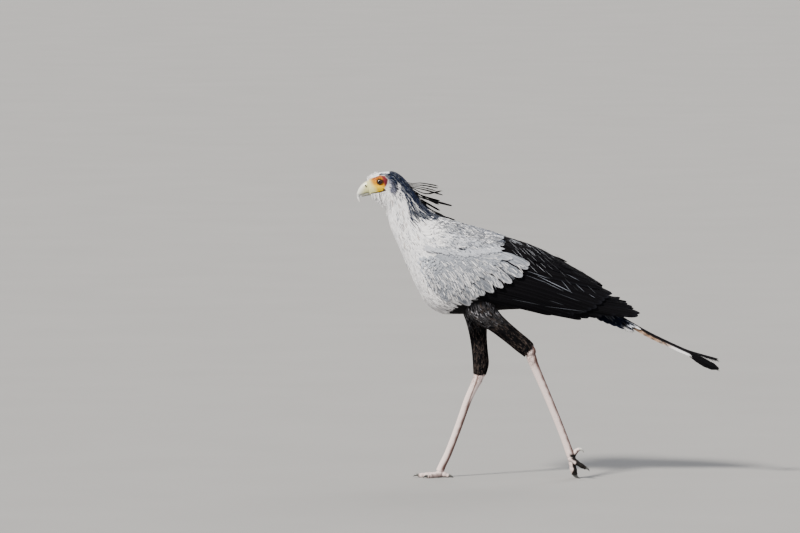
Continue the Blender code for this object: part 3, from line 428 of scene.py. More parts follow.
# Colours, linear
WHITE = np.array((0.78, 0.77, 0.78))
PALE = np.array((0.50, 0.52, 0.57))
GREY = np.array((0.30, 0.325, 0.375))
LILAC = np.array((0.125, 0.13, 0.175))
SLATE = np.array((0.022, 0.025, 0.040))
NAVY = np.array((0.008, 0.012, 0.028))
BLACK = np.array((0.0040, 0.0038, 0.0044))
BROWN = np.array((0.030, 0.023, 0.020))
SHEEN = np.array((0.011, 0.0115, 0.015))
BUFF = np.array((0.44, 0.29, 0.20))
YELLOW = np.array((0.76, 0.47, 0.001))
ORANGE = np.array((0.46, 0.170, 0.0004))
CERE_GREEN = np.array((0.66, 0.63, 0.28))
SCARLET = np.array((0.16, 0.004, 0.022))
PINK = np.array((0.38, 0.07, 0.03))
HORN = np.array((0.66, 0.66, 0.60))
# The bill's darker horn, also painted shade along its lower edge
HORN_EDGE_AND_SHADE = np.array((0.20, 0.22, 0.25))
LEG = np.array((0.70, 0.57, 0.54))
# Dark skin over the joints, also used for painted shade behind the legs
LEG_DARK = np.array((0.15, 0.065, 0.05))
THROAT = np.array((0.46, 0.40, 0.38))
THIGH_GREY = np.array((0.055, 0.054, 0.058))
EYE_RING = np.array((0.07, 0.015, 0.008))
BROW_DUSK = np.array((0.09, 0.03, 0.02))
BEHIND_EYE = np.array((0.05, 0.008, 0.012))
LID_EDGE = np.array((0.05, 0.02, 0.015))
# Painted shade along the gape's crease and in the mouth's corner
MOUTH_LINE_SHADE = np.array((0.02, 0.012, 0.01))
MOUTH_CORNER_SHADE = np.array((0.03, 0.018, 0.015))
# Painted shade inside the nostril
NOSTRIL_SHADE = np.array((0.006, 0.005, 0.005))
DARKEST, BRIGHTEST = 0.003, 0.95
# The eye from its axis outwards: pupil, iris and rim, by distance in radians
PUPIL = (0.002, 0.002, 0.002, 1)
IRIS = (
    (0.36, PUPIL), (0.40, (0.034, 0.013, 0.006, 1)), (0.62, (0.056, 0.022, 0.009, 1)),
    (0.76, (0.03, 0.012, 0.008, 1)),
)
EYE_RIM = (0.02, 0.008, 0.006, 1)

# The stage: lamps with the way they come from, strength, width in degrees and colour, then the sky's
# colour and strength, the floor, and the camera's view
LAMPS = (
    ("key", (-0.62, -0.62, 0.80), 8.0, 9, (1.0, 0.955, 0.88)),
    ("fill", (0.8, -0.7, 0.35), 0.5, 60, (0.90, 0.94, 1.0)),
    ("rim", (0.3, 0.8, 0.7), 1.3, 30, (1.0, 0.98, 0.95)),
)
SKY = ((0.86, 0.90, 1.0, 1), 0.62)
FLOOR_COLOURS = ((0.235, 0.230, 0.223, 1), (0.265, 0.260, 0.253, 1))
FLOOR_SIDES, FLOOR_REACH = 96, 70
VIEW_STEPS, VIEW_MIDDLE, CAMERA_RISE = 800, (400.0, 266.5), math.radians(4)


def arrays(*values):
    """Numbers and arrays as float arrays of one shape."""
    return np.broadcast_arrays(*(np.asarray(value, float) for value in values))


def in_steps(length):
    return length * MM / PX


def in_mm(length):
    return length * PX / MM


def xyz(x, z, y=0.0):
    """Points of the side view, y millimetres from the middle plane, in metres."""
    x, z, y = arrays(x, z, y)
    return np.stack([(x - MIDDLE_STEP) * PX, y * MM, (FLOOR_STEP - z) * PX], axis=-1)


def steps(points):
    """The side view's x and z of points in metres."""
    return points[..., 0] / PX + MIDDLE_STEP, FLOOR_STEP - points[..., 2] / PX


def curve(rows, t):
    """A Catmull-Rom curve through rows of numbers, at an array of t from 0 to the last row's index."""
    rows = np.asarray(rows, float)
    if rows.ndim == 1:
        return curve(rows[:, None], t)[..., 0]
    last = len(rows) - 1
    t = np.clip(np.asarray(t, float), 0, last)
    i = np.minimum(t.astype(int), last - 1)
    f = (t - i)[..., None]
    before, here = rows[np.maximum(i - 1, 0)], rows[i]
    then, after = rows[i + 1], rows[np.minimum(i + 2, last)]
    square = 2 * before - 5 * here + 4 * then - after
    cube = 3 * here - before - 3 * then + after
    return 0.5 * (2 * here + (then - before) * f + square * f**2 + cube * f**3)


def unit(v):
    return v / np.maximum(np.linalg.norm(v, axis=-1, keepdims=True), 1e-12)


def ramp(low, high, value):
    """0 below low, 1 above high and smooth between."""
    t = np.clip((np.asarray(value, float) - low) / (high - low), 0, 1)
    return t * t * (3 - 2 * t)


def zone(outline, x, z, soft):
    """1 well inside an outline of the side view, 0 well outside, fading over soft steps at its edge."""
    x, z = np.asarray(x, float), np.asarray(z, float)
    inside = np.zeros(x.shape, bool)
    nearest = np.full(x.shape, 1e9)
    for (x0, z0), (x1, z1) in zip(outline, outline[1:] + outline[:1]):
        crosses = (z0 > z) != (z1 > z)
        at = x0 + (z - z0) * (x1 - x0) / (z1 - z0 if z1 != z0 else 1e-9)
        inside ^= crosses & (x < at)
        length = (x1 - x0) ** 2 + (z1 - z0) ** 2
        share = np.clip(((x - x0) * (x1 - x0) + (z - z0) * (z1 - z0)) / length, 0, 1)
        gap = np.hypot(x - x0 - share * (x1 - x0), z - z0 - share * (z1 - z0))
        nearest = np.minimum(nearest, gap)
    return ramp(-soft, soft, np.where(inside, nearest, -nearest))


def mix(a, b, share):
    share = np.asarray(share, float)[..., None]
    return a * (1 - share) + b * share


def bump_at(x, z, centre, spread):
    return np.exp(-(((x - centre[0]) / spread[0]) ** 2) - ((z - centre[1]) / spread[1]) ** 2)


def teeth(value):
    """0.5 at whole numbers, 0 half way between them and straight between."""
    return np.abs(np.mod(value, 1) - 0.5)


def bulge(start, span, power, s):
    """A vane's width at shares s of its length, as part of a sine's arch."""
    return np.sin(np.pi * np.clip(start + span * s, 0, 1)) ** power


def rounded(s, start, span, least):
    """A factor that gives a vane a round end from start on."""
    return np.sqrt(np.clip(1 - np.clip((s - start) / span, 0, 1) ** 2, least, 1))


def clipped(colours):
    return np.clip(colours, DARKEST, BRIGHTEST)


def oval(rows, angle, grow, width, y=0.0):
    """Points round sections whose rows start with their two ends, x, z and x, z in steps. angle starts at
    the first end, grow moves both ends out in mm, and width is each point's way from y, in metres."""
    first, last = xyz(rows[..., 0], rows[..., 1], y), xyz(rows[..., 2], rows[..., 3], y)
    middle, up = (first + last) / 2, (first - last) / 2
    up = up * (1 + grow * MM / np.linalg.norm(up, axis=-1))[..., None]
    points = middle + up * np.cos(angle)[..., None]
    points[..., 1] += width
    return points


def body(t, angle, depth=0.0):
    """The body's surface at rows t and angles from the back's midline, sunk by depth in mm."""
    t, angle = arrays(t, angle)
    rows = curve(BODY, t)
    width = (rows[..., 4] - depth) * MM * np.sin(angle) * (1 + rows[..., 5] * np.cos(angle))
    points = oval(rows, angle, -depth, width)
    x, z = steps(points)
    # The face: a ridge over the eye, its socket, full cheeks and hollow lores
    relief = 2.4 * bump_at(x, z, (378.5, 176.2), (4.6, 1.7)) - 2.6 * bump_at(x, z, EYE, (3.3, 3.0))
    relief += 1.2 * bump_at(x, z, (380.5, 187.4), (4.2, 2.6)) - 1.4 * bump_at(x, z, (373.4, 182.4), (2.4, 3))
    points[..., 1] += relief * MM * np.clip(np.sin(angle) * 1.6, -1, 1)
    return points


def thigh_surface(side, grow):
    last = len(THIGH[side]) - 1

    def surface(t, angle):
        t, angle = arrays(t, angle)
        rows = curve(THIGH[side], t)
        y = side * (HIP_Y + (ANKLE_Y - HIP_Y) * (t / last))
        return oval(rows, angle, grow, (rows[..., 4] + grow) * MM * np.sin(angle), y)

    return surface


def shank_surface(side):
    """The tarsus, with its front in broad scutes, its back in small ones and its joint in fine scales."""
    rows = SHANK[side]
    last = len(rows) - 1
    line = curve(rows, np.linspace(0, last, RUN_SAMPLES))
    run = in_mm(np.concatenate([[0], np.cumsum(np.hypot(np.diff(line[:, 0]), np.diff(line[:, 1])))]))

    def surface(t, angle):
        t, angle = arrays(t, angle)
        here = curve(rows, t)
        share = t / last
        step = curve(rows, t + 0.05)[..., :2] - curve(rows, t - 0.05)[..., :2]
        way = unit(np.stack([step[..., 0], np.zeros(t.shape), -step[..., 1]], axis=-1))
        front = np.stack([-way[..., 2], np.zeros(t.shape), way[..., 0]], axis=-1)
        front = np.where(front[..., :1] > 0, -front, front)
        distance = np.interp(share, np.linspace(0, 1, RUN_SAMPLES), run)
        ahead = np.cos(angle)
        broad = ramp(0.25, 0.7, ahead) * ramp(0.10, 0.2, share)
        groove = teeth(distance / SCUTE_PITCH + 0.12 * np.sin(3 * angle)) * 2
        relief = 0.75 * broad * (ramp(0.0, 0.35, 1 - groove) - 0.6)
        small = np.mod(np.floor(distance / SCALE_PITCH), 2) * 0.5
        cell = teeth(distance / SCALE_PITCH) + teeth(angle / TURN * SCALES_ROUND + small)
        relief += 0.28 * (1 - broad) * (1 - 1.5 * cell)
        keel = 0.8 * ramp(-0.6, -0.98, ahead) * ramp(0.15, 0.3, share)
        depth = (here[..., 2] + relief + keel) * MM * ahead
        y = side * (ANKLE_Y + (FOOT_Y[side] - ANKLE_Y) * share)
        points = xyz(here[..., 0], here[..., 1], y) + front * depth[..., None]
        points[..., 1] += (here[..., 3] + relief * 0.7) * MM * np.sin(angle)
        return points

    return surface


def toe_surface(side, places):
    last = len(places) - 1
    joint = foot_joint(side)

    def centre(at):
        p = curve(places, at)
        return joint + np.stack([-p[..., 0], p[..., 1] * side, p[..., 2]], axis=-1) * MM

    def surface(t, angle):
        t, angle = arrays(t, angle)
        way = unit(centre(np.minimum(t + 0.15, last)) - centre(np.maximum(t - 0.15, 0)))
        across = unit(np.cross(way, np.where(np.abs(way[..., 2:]) < 0.8, UP, AHEAD)))
        over = np.cross(across, way)
        pads = 1 + 0.07 * np.cos(TURN * t) * ramp(0.3, 1.0, t)
        top = ramp(0.2, 0.7, np.sin(angle))
        groove = teeth(t * SCUTES_A_JOINT) * 2
        pebble = teeth(t * PEBBLES_A_JOINT) + teeth(angle / TURN * PEBBLES_ROUND)
        relief = 0.55 * top * (ramp(0.0, 0.4, 1 - groove) - 0.6) + 0.3 * (1 - top) * (0.5 - pebble)
        size = (curve(places, t)[..., 3] * pads + relief)[..., None] * MM
        return centre(t) + (across * np.cos(angle)[..., None] + over * np.sin(angle)[..., None]) * size

    return surface


def foot_joint(side):
    return xyz(*JOINTS[side], side * FOOT_Y[side])


def make_material(name, roughness, build=None, **sockets):
    made = bpy.data.materials.new(name)
    made.use_nodes = True
    shader = made.node_tree.nodes["Principled BSDF"]
    shader.inputs["Roughness"].default_value = roughness
    for socket, value in sockets.items():
        shader.inputs[socket.replace("_", " ")].default_value = value
    if build:
        build(made.node_tree, shader)
    return made


def node(tree, kind, **settings):
    made = tree.nodes.new(kind)
    for key, value in settings.items():
        if key in made.inputs:
            made.inputs[key].default_value = value
        else:
            setattr(made, key, value)
    return made


def feed(tree, sockets, values):
    """Gives each socket a value, or a link from another socket."""
    for socket, value in zip(sockets, values):
        if hasattr(value, "node"):
            tree.links.new(value, socket)
        else:
            socket.default_value = value


def maths(tree, operation, *values):
    made = node(tree, "ShaderNodeMath", operation=operation)
    feed(tree, made.inputs, values)
    return made.outputs[0]


def blend(tree, kind, share, a, b):
    """A colour mix, whose inputs are sockets or plain values."""
    made = node(tree, "ShaderNodeMix", data_type="RGBA", blend_type=kind, clamp_factor=True)
    feed(tree, (made.inputs[0], made.inputs[6], made.inputs[7]), (share, a, b))
    return made.outputs[2]


def noise(tree, scale, detail, stretch=None):
    place = node(tree, "ShaderNodeTexCoord").outputs["Object"]
    if stretch:
        turned = node(tree, "ShaderNodeMapping", Scale=stretch)
        tree.links.new(place, turned.inputs["Vector"])
        place = turned.outputs["Vector"]
    made = node(tree, "ShaderNodeTexNoise", Scale=scale, Detail=detail)
    tree.links.new(place, made.inputs["Vector"])
    return made.outputs["Fac"]


def tinted(tree):
    return node(tree, "ShaderNodeAttribute", attribute_name="tint").outputs["Color"]


def bumped(tree, shader, height, strength, distance):
    made = node(tree, "ShaderNodeBump", Strength=strength, Distance=distance)
    tree.links.new(height, made.inputs["Height"])
    tree.links.new(made.outputs["Normal"], shader.inputs["Normal"])


def shaded_tint(tree, share, scale, offset, strength):
    """The mesh's own colour, made lighter and darker by a share."""
    value = maths(tree, "MULTIPLY_ADD", share, scale, offset)
    grey = node(tree, "ShaderNodeCombineColor")
    for socket in grey.inputs[:3]:
        tree.links.new(value, socket)
    return blend(tree, "SOFT_LIGHT", strength, tinted(tree), grey.outputs[0])


def feather_nodes(barbs, shaft, contrast):
    """A feather's web: slanting barbs either side of its shaft, over the colour of its place."""

    def build(tree, shader):
        web = node(tree, "ShaderNodeUVMap", uv_map="vane")
        parts = node(tree, "ShaderNodeSeparateXYZ")
        tree.links.new(web.outputs["UV"], parts.inputs[0])
        off = maths(tree, "ABSOLUTE", maths(tree, "SUBTRACT", parts.outputs["X"], 0.5))
        wander = maths(tree, "MULTIPLY", noise(tree, 160.0, 2.0), 3.0)
        lines = maths(tree, "MULTIPLY", parts.outputs["Y"], barbs)
        slanted = maths(tree, "SUBTRACT", lines, maths(tree, "MULTIPLY", off, barbs * 0.55))
        wave = maths(tree, "SINE", maths(tree, "ADD", slanted, wander))
        quill = maths(tree, "MULTIPLY", maths(tree, "LESS_THAN", off, 0.028), shaft[3])
        colour = blend(tree, "MIX", quill, shaded_tint(tree, wave, contrast, 0.5, 0.9), (*shaft[:3], 1))
        tree.links.new(colour, shader.inputs["Base Color"])
        bumped(tree, shader, wave, 0.35, 0.0006)

    return build


def skin_nodes(tree, shader):
    cells = node(tree, "ShaderNodeTexVoronoi", Scale=420.0)
    tree.links.new(node(tree, "ShaderNodeTexCoord").outputs["Object"], cells.inputs["Vector"])
    folds = noise(tree, 260.0, 6.0)
    tree.links.new(shaded_tint(tree, folds, 0.6, 0.2, 0.7), shader.inputs["Base Color"])
    height = maths(tree, "ADD", maths(tree, "MULTIPLY", cells.outputs["Distance"], 0.5), folds)
    bumped(tree, shader, height, 0.7, 0.0014)


def horn_nodes(tree, shader):
    grain = noise(tree, 90.0, 5.0, (1.0, 1.0, 3.0))
    tree.links.new(shaded_tint(tree, grain, 0.5, 0.25, 0.8), shader.inputs["Base Color"])
    bumped(tree, shader, grain, 0.15, 0.0005)


def eye_nodes(tree, shader):
    """Pupil, iris and rim by the distance from the eye's axis, with fine spokes in the iris."""
    away = node(tree, "ShaderNodeAttribute", attribute_name="away").outputs["Fac"]
    spokes = maths(tree, "MULTIPLY", noise(tree, 900.0, 4.0), 0.09)
    colours = node(tree, "ShaderNodeValToRGB")
    colours.color_ramp.elements[0].color = PUPIL
    colours.color_ramp.elements[1].color = EYE_RIM
    for at, colour in IRIS:
        colours.color_ramp.elements.new(at).color = colour
    tree.links.new(maths(tree, "ADD", away, maths(tree, "SUBTRACT", spokes, 0.045)), colours.inputs[0])
    tree.links.new(colours.outputs[0], shader.inputs["Base Color"])


def set_tint(mesh, colours):
    rgba = np.ones((len(mesh.vertices), 4))
    rgba[:, :3] = colours
    layer = mesh.color_attributes.new(name="tint", type="FLOAT_COLOR", domain="POINT")
    layer.data.foreach_set("color", rgba.ravel())


def coordinates(mesh):
    points = np.empty(len(mesh.vertices) * 3)
    mesh.vertices.foreach_get("co", points)
    return points.reshape(-1, 3)


def grid_object(name, points, faces, uvs, material, smooth=True):
    """A mesh object from an array of points and one of faces with the same number of corners."""
    mesh = bpy.data.meshes.new(name)
    ends = faces.shape[1]
    mesh.vertices.add(len(points))
    mesh.vertices.foreach_set("co", np.ascontiguousarray(points, dtype=np.float64).ravel())
    mesh.loops.add(faces.size)
    mesh.loops.foreach_set("vertex_index", faces.ravel().astype(np.int32))
    mesh.polygons.add(len(faces))
    mesh.polygons.foreach_set("loop_start", np.arange(0, faces.size, ends, dtype=np.int32))
    mesh.update(calc_edges=True)
    mesh.polygons.foreach_set("use_smooth", np.full(len(faces), smooth))
    for key, values in uvs.items():
        layer = mesh.uv_layers.new(name=key)
        layer.data.foreach_set("uv", np.ascontiguousarray(values[faces.ravel()], dtype=np.float64).ravel())
    mesh.materials.append(material)
    obj = bpy.data.objects.new(name, mesh)
    bpy.context.scene.collection.objects.link(obj)
    return obj


def attach(obj, slot, *replaced):
    """The frame's notes on a piece: its body and the nodes that it stands for; its slot is not used."""
    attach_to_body(obj, "root")
    if replaced:
        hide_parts(*replaced)


class Coat:
    """Vanes gathered into one mesh."""

    def __init__(self, name, material):
        self.name, self.material = name, material
        self.points, self.faces, self.tints, self.patches, self.webs = [], [], [], [], []
        self.count = self.used = 0

    def cells(self, number):
        """Centres of cells above the body's unwrap, for large feathers of several colours."""
        first, self.used = self.used, self.used + number
        k = np.arange(first, self.used)
        return np.stack([0.03 + CELL[0] * (k % CELL_COLUMNS), 0.63 + CELL[1] * (k // CELL_COLUMNS)], axis=-1)

    def add(self, centres, outs, halves, tints, roots=None, across=3, camber=0.3, tip_cut=0.0):
        """centres and outs are (vane, station, 3), halves (vane, station), tints (vane, station, 3),
        (vane, 1, 3) or one for each point, and roots the (vane, 2) places on the unwrapped skin, or
        None for large feathers, which take cells of their own."""
        n, s = centres.shape[:2]
        ahead = np.gradient(centres, axis=1)
        side = unit(np.cross(outs, ahead))
        up = unit(np.cross(ahead, side))
        a = np.linspace(-1, 1, across)
        half = halves[:, :, None, None]
        points = centres[:, :, None, :] + side[:, :, None, :] * half * a[None, None, :, None]
        points = points - up[:, :, None, :] * half * camber * (a * a)[None, None, :, None]
        if tip_cut:
            # Loose barbs: the points across a tip end at different lengths
            cut = draw.uniform(0, tip_cut, (n, across, 1)) * half[:, -2]
            points[:, -1] -= unit(ahead[:, -1])[:, None, :] * cut
        along = np.linspace(0, 1, s)
        wide, tall = (PATCH, PATCH) if roots is not None else (CELL[0] * 0.8, CELL[1] * 0.9)
        roots = self.cells(n) if roots is None else roots
        patch = np.empty((n, s, across, 2))
        patch[..., 0] = roots[:, None, None, 0] + wide / 2 * a[None, None, :]
        patch[..., 1] = roots[:, None, None, 1] + tall * (along[None, :, None] - 0.5)
        web = np.empty((n, s, across, 2))
        web[..., 0] = (a[None, None, :] + 1) / 2
        web[..., 1] = along[None, :, None]
        i = np.arange(s - 1)[:, None] * across + np.arange(across - 1)[None, :]
        quad = np.stack([i, i + 1, i + 1 + across, i + across], axis=-1).reshape(-1, 4)
        faces = quad[None] + (np.arange(n) * s * across)[:, None, None] + self.count
        self.points.append(points.reshape(-1, 3))
        self.faces.append(faces.reshape(-1, 4))
        shades = tints if tints.ndim == 4 else tints[:, :, None, :]
        self.tints.append(np.broadcast_to(shades, (n, s, across, 3)).reshape(-1, 3))
        self.patches.append(patch.reshape(-1, 2))
        self.webs.append(web.reshape(-1, 2))
        self.count += n * s * across

    def build(self, slot, *replaced):
        uvs = {"OFBake": np.concatenate(self.patches), "vane": np.concatenate(self.webs)}
        faces = np.concatenate(self.faces)
        obj = grid_object(self.name, np.concatenate(self.points), faces, uvs, self.material)
        set_tint(obj.data, np.concatenate(self.tints))
        attach(obj, slot, *replaced)


def slopes(surface, t, angle):
    """How a surface runs with its rows and with its angles."""
    e = 0.01
    along = (surface(t + e, angle) - surface(t - e, angle)) / (2 * e)
    return along, (surface(t, angle + e) - surface(t, angle - e)) / (2 * e)


def lay(
    coat, surface, t, angle, length, half, colour, lift, tip_lift, splay, stations=5, last=BODY_LAST, **vane
):
    """Vanes that lie along a surface, whose rows end at last, towards growing t from their roots, turned by
    splay in radians and lifted by lift and, at their tips, tip_lift in mm."""
    t, angle, length, half, splay = arrays(t, angle, length, half, splay)
    along, around = (np.linalg.norm(slope, axis=-1) for slope in slopes(surface, t, angle))
    s = np.linspace(0, 1, stations)
    u = t[:, None] + (length * MM * np.cos(splay) / along)[:, None] * s
    v = angle[:, None] + (length * MM * np.sin(splay) / np.maximum(around, 1e-4))[:, None] * s
    base = surface(u, v)
    outs = unit(np.cross(*slopes(surface, u, v)))
    inner = surface(t, angle + math.pi)
    outs = outs * np.sign(np.sum(outs[:, :1] * (base[:, :1] - inner[:, None]), axis=-1, keepdims=True))
    rise = (lift * np.sin(np.pi * np.minimum(s * 0.8 + 0.1, 1)) + tip_lift * s**2) * MM
    centres = base + outs * np.broadcast_to(rise, u.shape)[..., None]
    halves = half[:, None] * MM * bulge(0.12, 0.80, 0.6, s**0.85)
    tints = colour(base.mean(axis=1), s)
    coat.add(centres, outs, halves, tints, bake_place(t, angle, last), **vane)


def bake_place(t, angle, last=BODY_LAST):
    """The place of a row and angle on the surface's own unwrap."""
    turn = np.mod(angle / TURN + 0.5, 1)
    return np.stack([0.02 + 0.96 * t / last, 0.02 + 0.56 * turn], axis=-1)


def body_tree():
    """Points of the body, with their rows and angles, to find the place under any point."""
    angle = np.linspace(-math.pi, math.pi, 96, endpoint=False)
    t, angle = np.meshgrid(np.linspace(0, BODY_LAST, 170), angle)
    t, angle = t.ravel(), angle.ravel()
    tree = KDTree(len(t))
    for i, point in enumerate(body(t, angle)):
        tree.insert(point, i)
    tree.balance()
    return tree, t, angle


BODY_TREE = body_tree()


def place_under(points):
    """The places on the body's unwrap that lie nearest to points, found between the tree's own points."""
    tree, ts, angles = BODY_TREE
    nearest = np.array([tree.find(point)[1] for point in points])
    t, angle, e = ts[nearest], angles[nearest], 0.02
    base = body(t, angle)

    def nudge(way, most):
        square = np.maximum(np.sum(way * way, axis=1), 1e-9)
        return np.clip(e * np.sum((points - base) * way, axis=1) / square, -most, most)

    along, around = nudge(body(t + e, angle) - base, 0.08), nudge(body(t, angle + e) - base, 0.04)
    return bake_place(np.clip(t + along, 0, BODY_LAST), angle + around)


def tail_place(x, share):
    """Places on the tail's own unwrap, by x in steps and by a share of the way round."""
    return np.stack([0.02 + 0.96 * (x - 575) / 150, 0.02 + 0.56 * share], axis=-1)


GRID_X, GRID_Z = np.arange(346.0, 700.0), np.arange(160.0, 346.0)


def width_grid():
    """Half the body's width in mm over the side view, and the plumage's: the body's or the folded wing's,
    whichever is wider."""
    x, z = np.meshgrid(GRID_X, GRID_Z, indexing="ij")
    target = xyz(x, z)
    nearest, inner = np.full(x.shape, 1e9), np.zeros(x.shape)
    for t in np.arange(0, WIDTH_ROWS + 0.01, 0.125):
        row = curve(BODY, np.array(t))
        top, low = xyz(row[0], row[1]), xyz(row[2], row[3])
        middle, axis = (top + low) / 2, (top - low) / 2
        offset = target - middle
        level = offset @ axis / (axis @ axis)
        off_line = np.linalg.norm(offset - axis * level[..., None], axis=-1)
        closer = (off_line < nearest) & (np.abs(level) < 1)
        nearest = np.where(closer, off_line, nearest)
        half = row[4] * np.sqrt(np.clip(1 - level * level, 0, 1)) * (1 + row[5] * level)
        inner = np.where(closer, half, inner)
    columns = [row[0] for row in FLANK]
    rows = curve(FLANK, np.interp(x, columns, np.arange(len(FLANK))))
    top, bottom = rows[..., 1], rows[..., 2]
    level = np.clip((2 * z - top - bottom) / (bottom - top), -FLANK_EDGE_LEVEL, FLANK_EDGE_LEVEL)
    outer = rows[..., 3] * np.sqrt(1 - level * level)
    grid = np.maximum(outer, inner + PLUMAGE_OVER_BODY)
    for _ in range(3):
        padded = np.pad(grid, 1, mode="edge")
        grid = (padded[:-2, 1:-1] + padded[2:, 1:-1] + padded[1:-1, :-2] + padded[1:-1, 2:] + 2 * grid) / 6
    return inner, grid


def lookup(grid, x, z):
    """The grid's value between its points."""
    u = np.clip(np.asarray(x, float) - GRID_X[0], 0, len(GRID_X) - 1.001)
    v = np.clip(np.asarray(z, float) - GRID_Z[0], 0, len(GRID_Z) - 1.001)
    i, j = u.astype(int), v.astype(int)
    f, g = u - i, v - j
    near = grid[i, j] * (1 - f) + grid[i + 1, j] * f
    far = grid[i, j + 1] * (1 - f) + grid[i + 1, j + 1] * f
    return near * (1 - g) + far * g


BODY_WIDTH, WIDTH = width_grid()


def ways_out(grid, x, z, reach):
    """The ways out from a surface whose half width is a grid, from its slopes over reach steps."""
    span = in_mm(2 * reach)
    slope_x = (lookup(grid, x + reach, z) - lookup(grid, x - reach, z)) / span
    slope_z = (lookup(grid, x, z - reach) - lookup(grid, x, z + reach)) / span
    return unit(np.stack([-slope_x, np.ones(slope_x.shape), -slope_z], axis=-1))


def plumage(x, z, side, depth):
    """Points of the folded plumage, sunk by depth in mm, and the ways out from it."""
    out = ways_out(WIDTH, x, z, 2)
    points = xyz(x, z, lookup(WIDTH, x, z)) - out * depth[..., None] * MM
    flip = np.array((1.0, side, 1.0))
    return points * flip, out * flip


def lay_flank(
    coat, side, x, z, droop, length, half, colour, depths, stations, bow, tilt, narrows=0.72, large=False,
    **vane
):
    """Vanes over the folded plumage, which leave their roots droop radians below level. depths are those of
    their roots and tips in mm, and narrows is where their round end starts."""
    x, z, droop, length, half = arrays(x, z, droop, length, half)
    s = np.sin(np.linspace(0, math.pi / 2, stations))
    run = in_steps(length)[:, None] * s
    u = x[:, None] + np.cos(droop)[:, None] * run
    v = z[:, None] + np.sin(droop)[:, None] * run - bow * 4 * (s * (1 - s))[None]
    low, high = (np.asarray(depth, float).reshape(-1, 1) for depth in depths)
    centres, outs = plumage(u, v, side, np.broadcast_to(low + (high - low) * s[None] ** 0.8, u.shape))
    above = unit(np.cross(outs, unit(np.gradient(centres, axis=1)))) * -side
    shape = 0.55 + 0.45 * np.sin(np.pi * np.clip(s * 0.9 + 0.05, 0, 1) ** 1.3)
    shape = shape * rounded(s, narrows, 1.0008 - narrows, 0.015)
    tints = colour(centres[:, 0], s)
    roots = None if large else place_under(centres[:, 0])
    coat.add(centres, unit(outs + above * tilt), half[:, None] * MM * shape, tints, roots, **vane)


def spread(outline, gap_x, gap_z, jitter=0.35):
    """Places inside an outline of the side view, in staggered rows."""
    xs, zs = [p[0] for p in outline], [p[1] for p in outline]
    rows = np.arange(min(zs), max(zs), gap_z)
    places = []
    for i, z in enumerate(rows):
        x = np.arange(min(xs), max(xs), gap_x) + (i % 2) * gap_x / 2
        places.append(np.stack([x, np.full(x.shape, z)], axis=-1))
    places = np.concatenate(places)
    places += draw.uniform(-jitter, jitter, places.shape) * (gap_x, gap_z)
    return places[zone(outline, places[:, 0], places[:, 1], 0.01) > 0.5].T


def body_tint(points):
    """The plumage's colour at points of it, by the markings of the side view."""
    x, z = steps(points)
    colour = np.broadcast_to(WHITE, (*x.shape, 3))
    cloud = np.sin(x * 0.35 + 1.7 * np.sin(z * 0.21)) * np.sin(z * 0.4 + 1.3 * np.sin(x * 0.17))
    colour = mix(colour, PALE, 0.22 + 0.22 * cloud)
    colour = mix(colour, PALE, 0.75 * ramp(425, 445, x) * ramp(285, 262, z))
    colour = mix(colour, PALE * 0.9, 0.8 * zone(MANTLE, x, z, 4.0))
    colour = mix(colour, NAVY, zone(NAPE, x, z, 1.2) * (0.8 + 0.2 * cloud))
    ear = mix(np.broadcast_to(LILAC, colour.shape), SLATE, ramp(390.0, 394.5, x + 0.5 * (184.0 - z)))
    colour = mix(colour, ear, 0.9 * zone(EAR, x, z, 2.4))
    colour = mix(colour, BLACK, zone(BELLY, x, z, 4.0))
    return mix(colour, BLACK, zone(BLACK_BACK, x, z, 1.2))


def shaded(tone, tip, tint=body_tint):
    """A colour for each vane from its place, varied from vane to vane and lighter towards the tip."""

    def colour(points, s):
        base = tint(points) * (1 + draw.normal(0, tone, (len(points), 1)))
        return clipped(base[:, None, :] * (1 + tip * (s - 0.6))[None, :, None])

    return colour


def plain(colour, tone=0.1, tip=0.0):
    return shaded(tone, tip, lambda points: np.broadcast_to(colour, points.shape))


def fixed(colours):
    """A given colour for each vane, the same from its root to its tip."""
    return lambda points, s: np.repeat(colours[:, None, :], len(s), axis=1)


def layered(*layers):
    """A colour for each vane from layers, the later over the earlier: which vanes have it, or None for all,
    then a colour and the least and most brightness of it."""

    def colour(points, s):
        base = 0
        for chosen, shade, low, high in layers:
            varied = shade * draw.uniform(low, high, (len(points), 1))
            base = varied if chosen is None else np.where(chosen[:, None], varied, base)
        return fixed(base)(points, s)

    return colour


def edged(inner, edge, tone, across, share, tip_from):
    """Vanes with paler edges and tips, over a colour or a function of their places."""
    a = np.abs(np.linspace(-1, 1, across))

    def colour(points, s):
        base = inner(points) if callable(inner) else np.broadcast_to(inner, points.shape)
        base = base * (1 + draw.normal(0, tone, (len(points), 1)))
        rim = ramp(0.4, 1.0, a)[None, :] * ramp(0.1, 0.5, s)[:, None]
        rim = np.maximum(rim, ramp(tip_from, 1.0, s)[:, None])
        return clipped(mix(base[:, None, None, :], edge, share * rim[None]))

    return colour


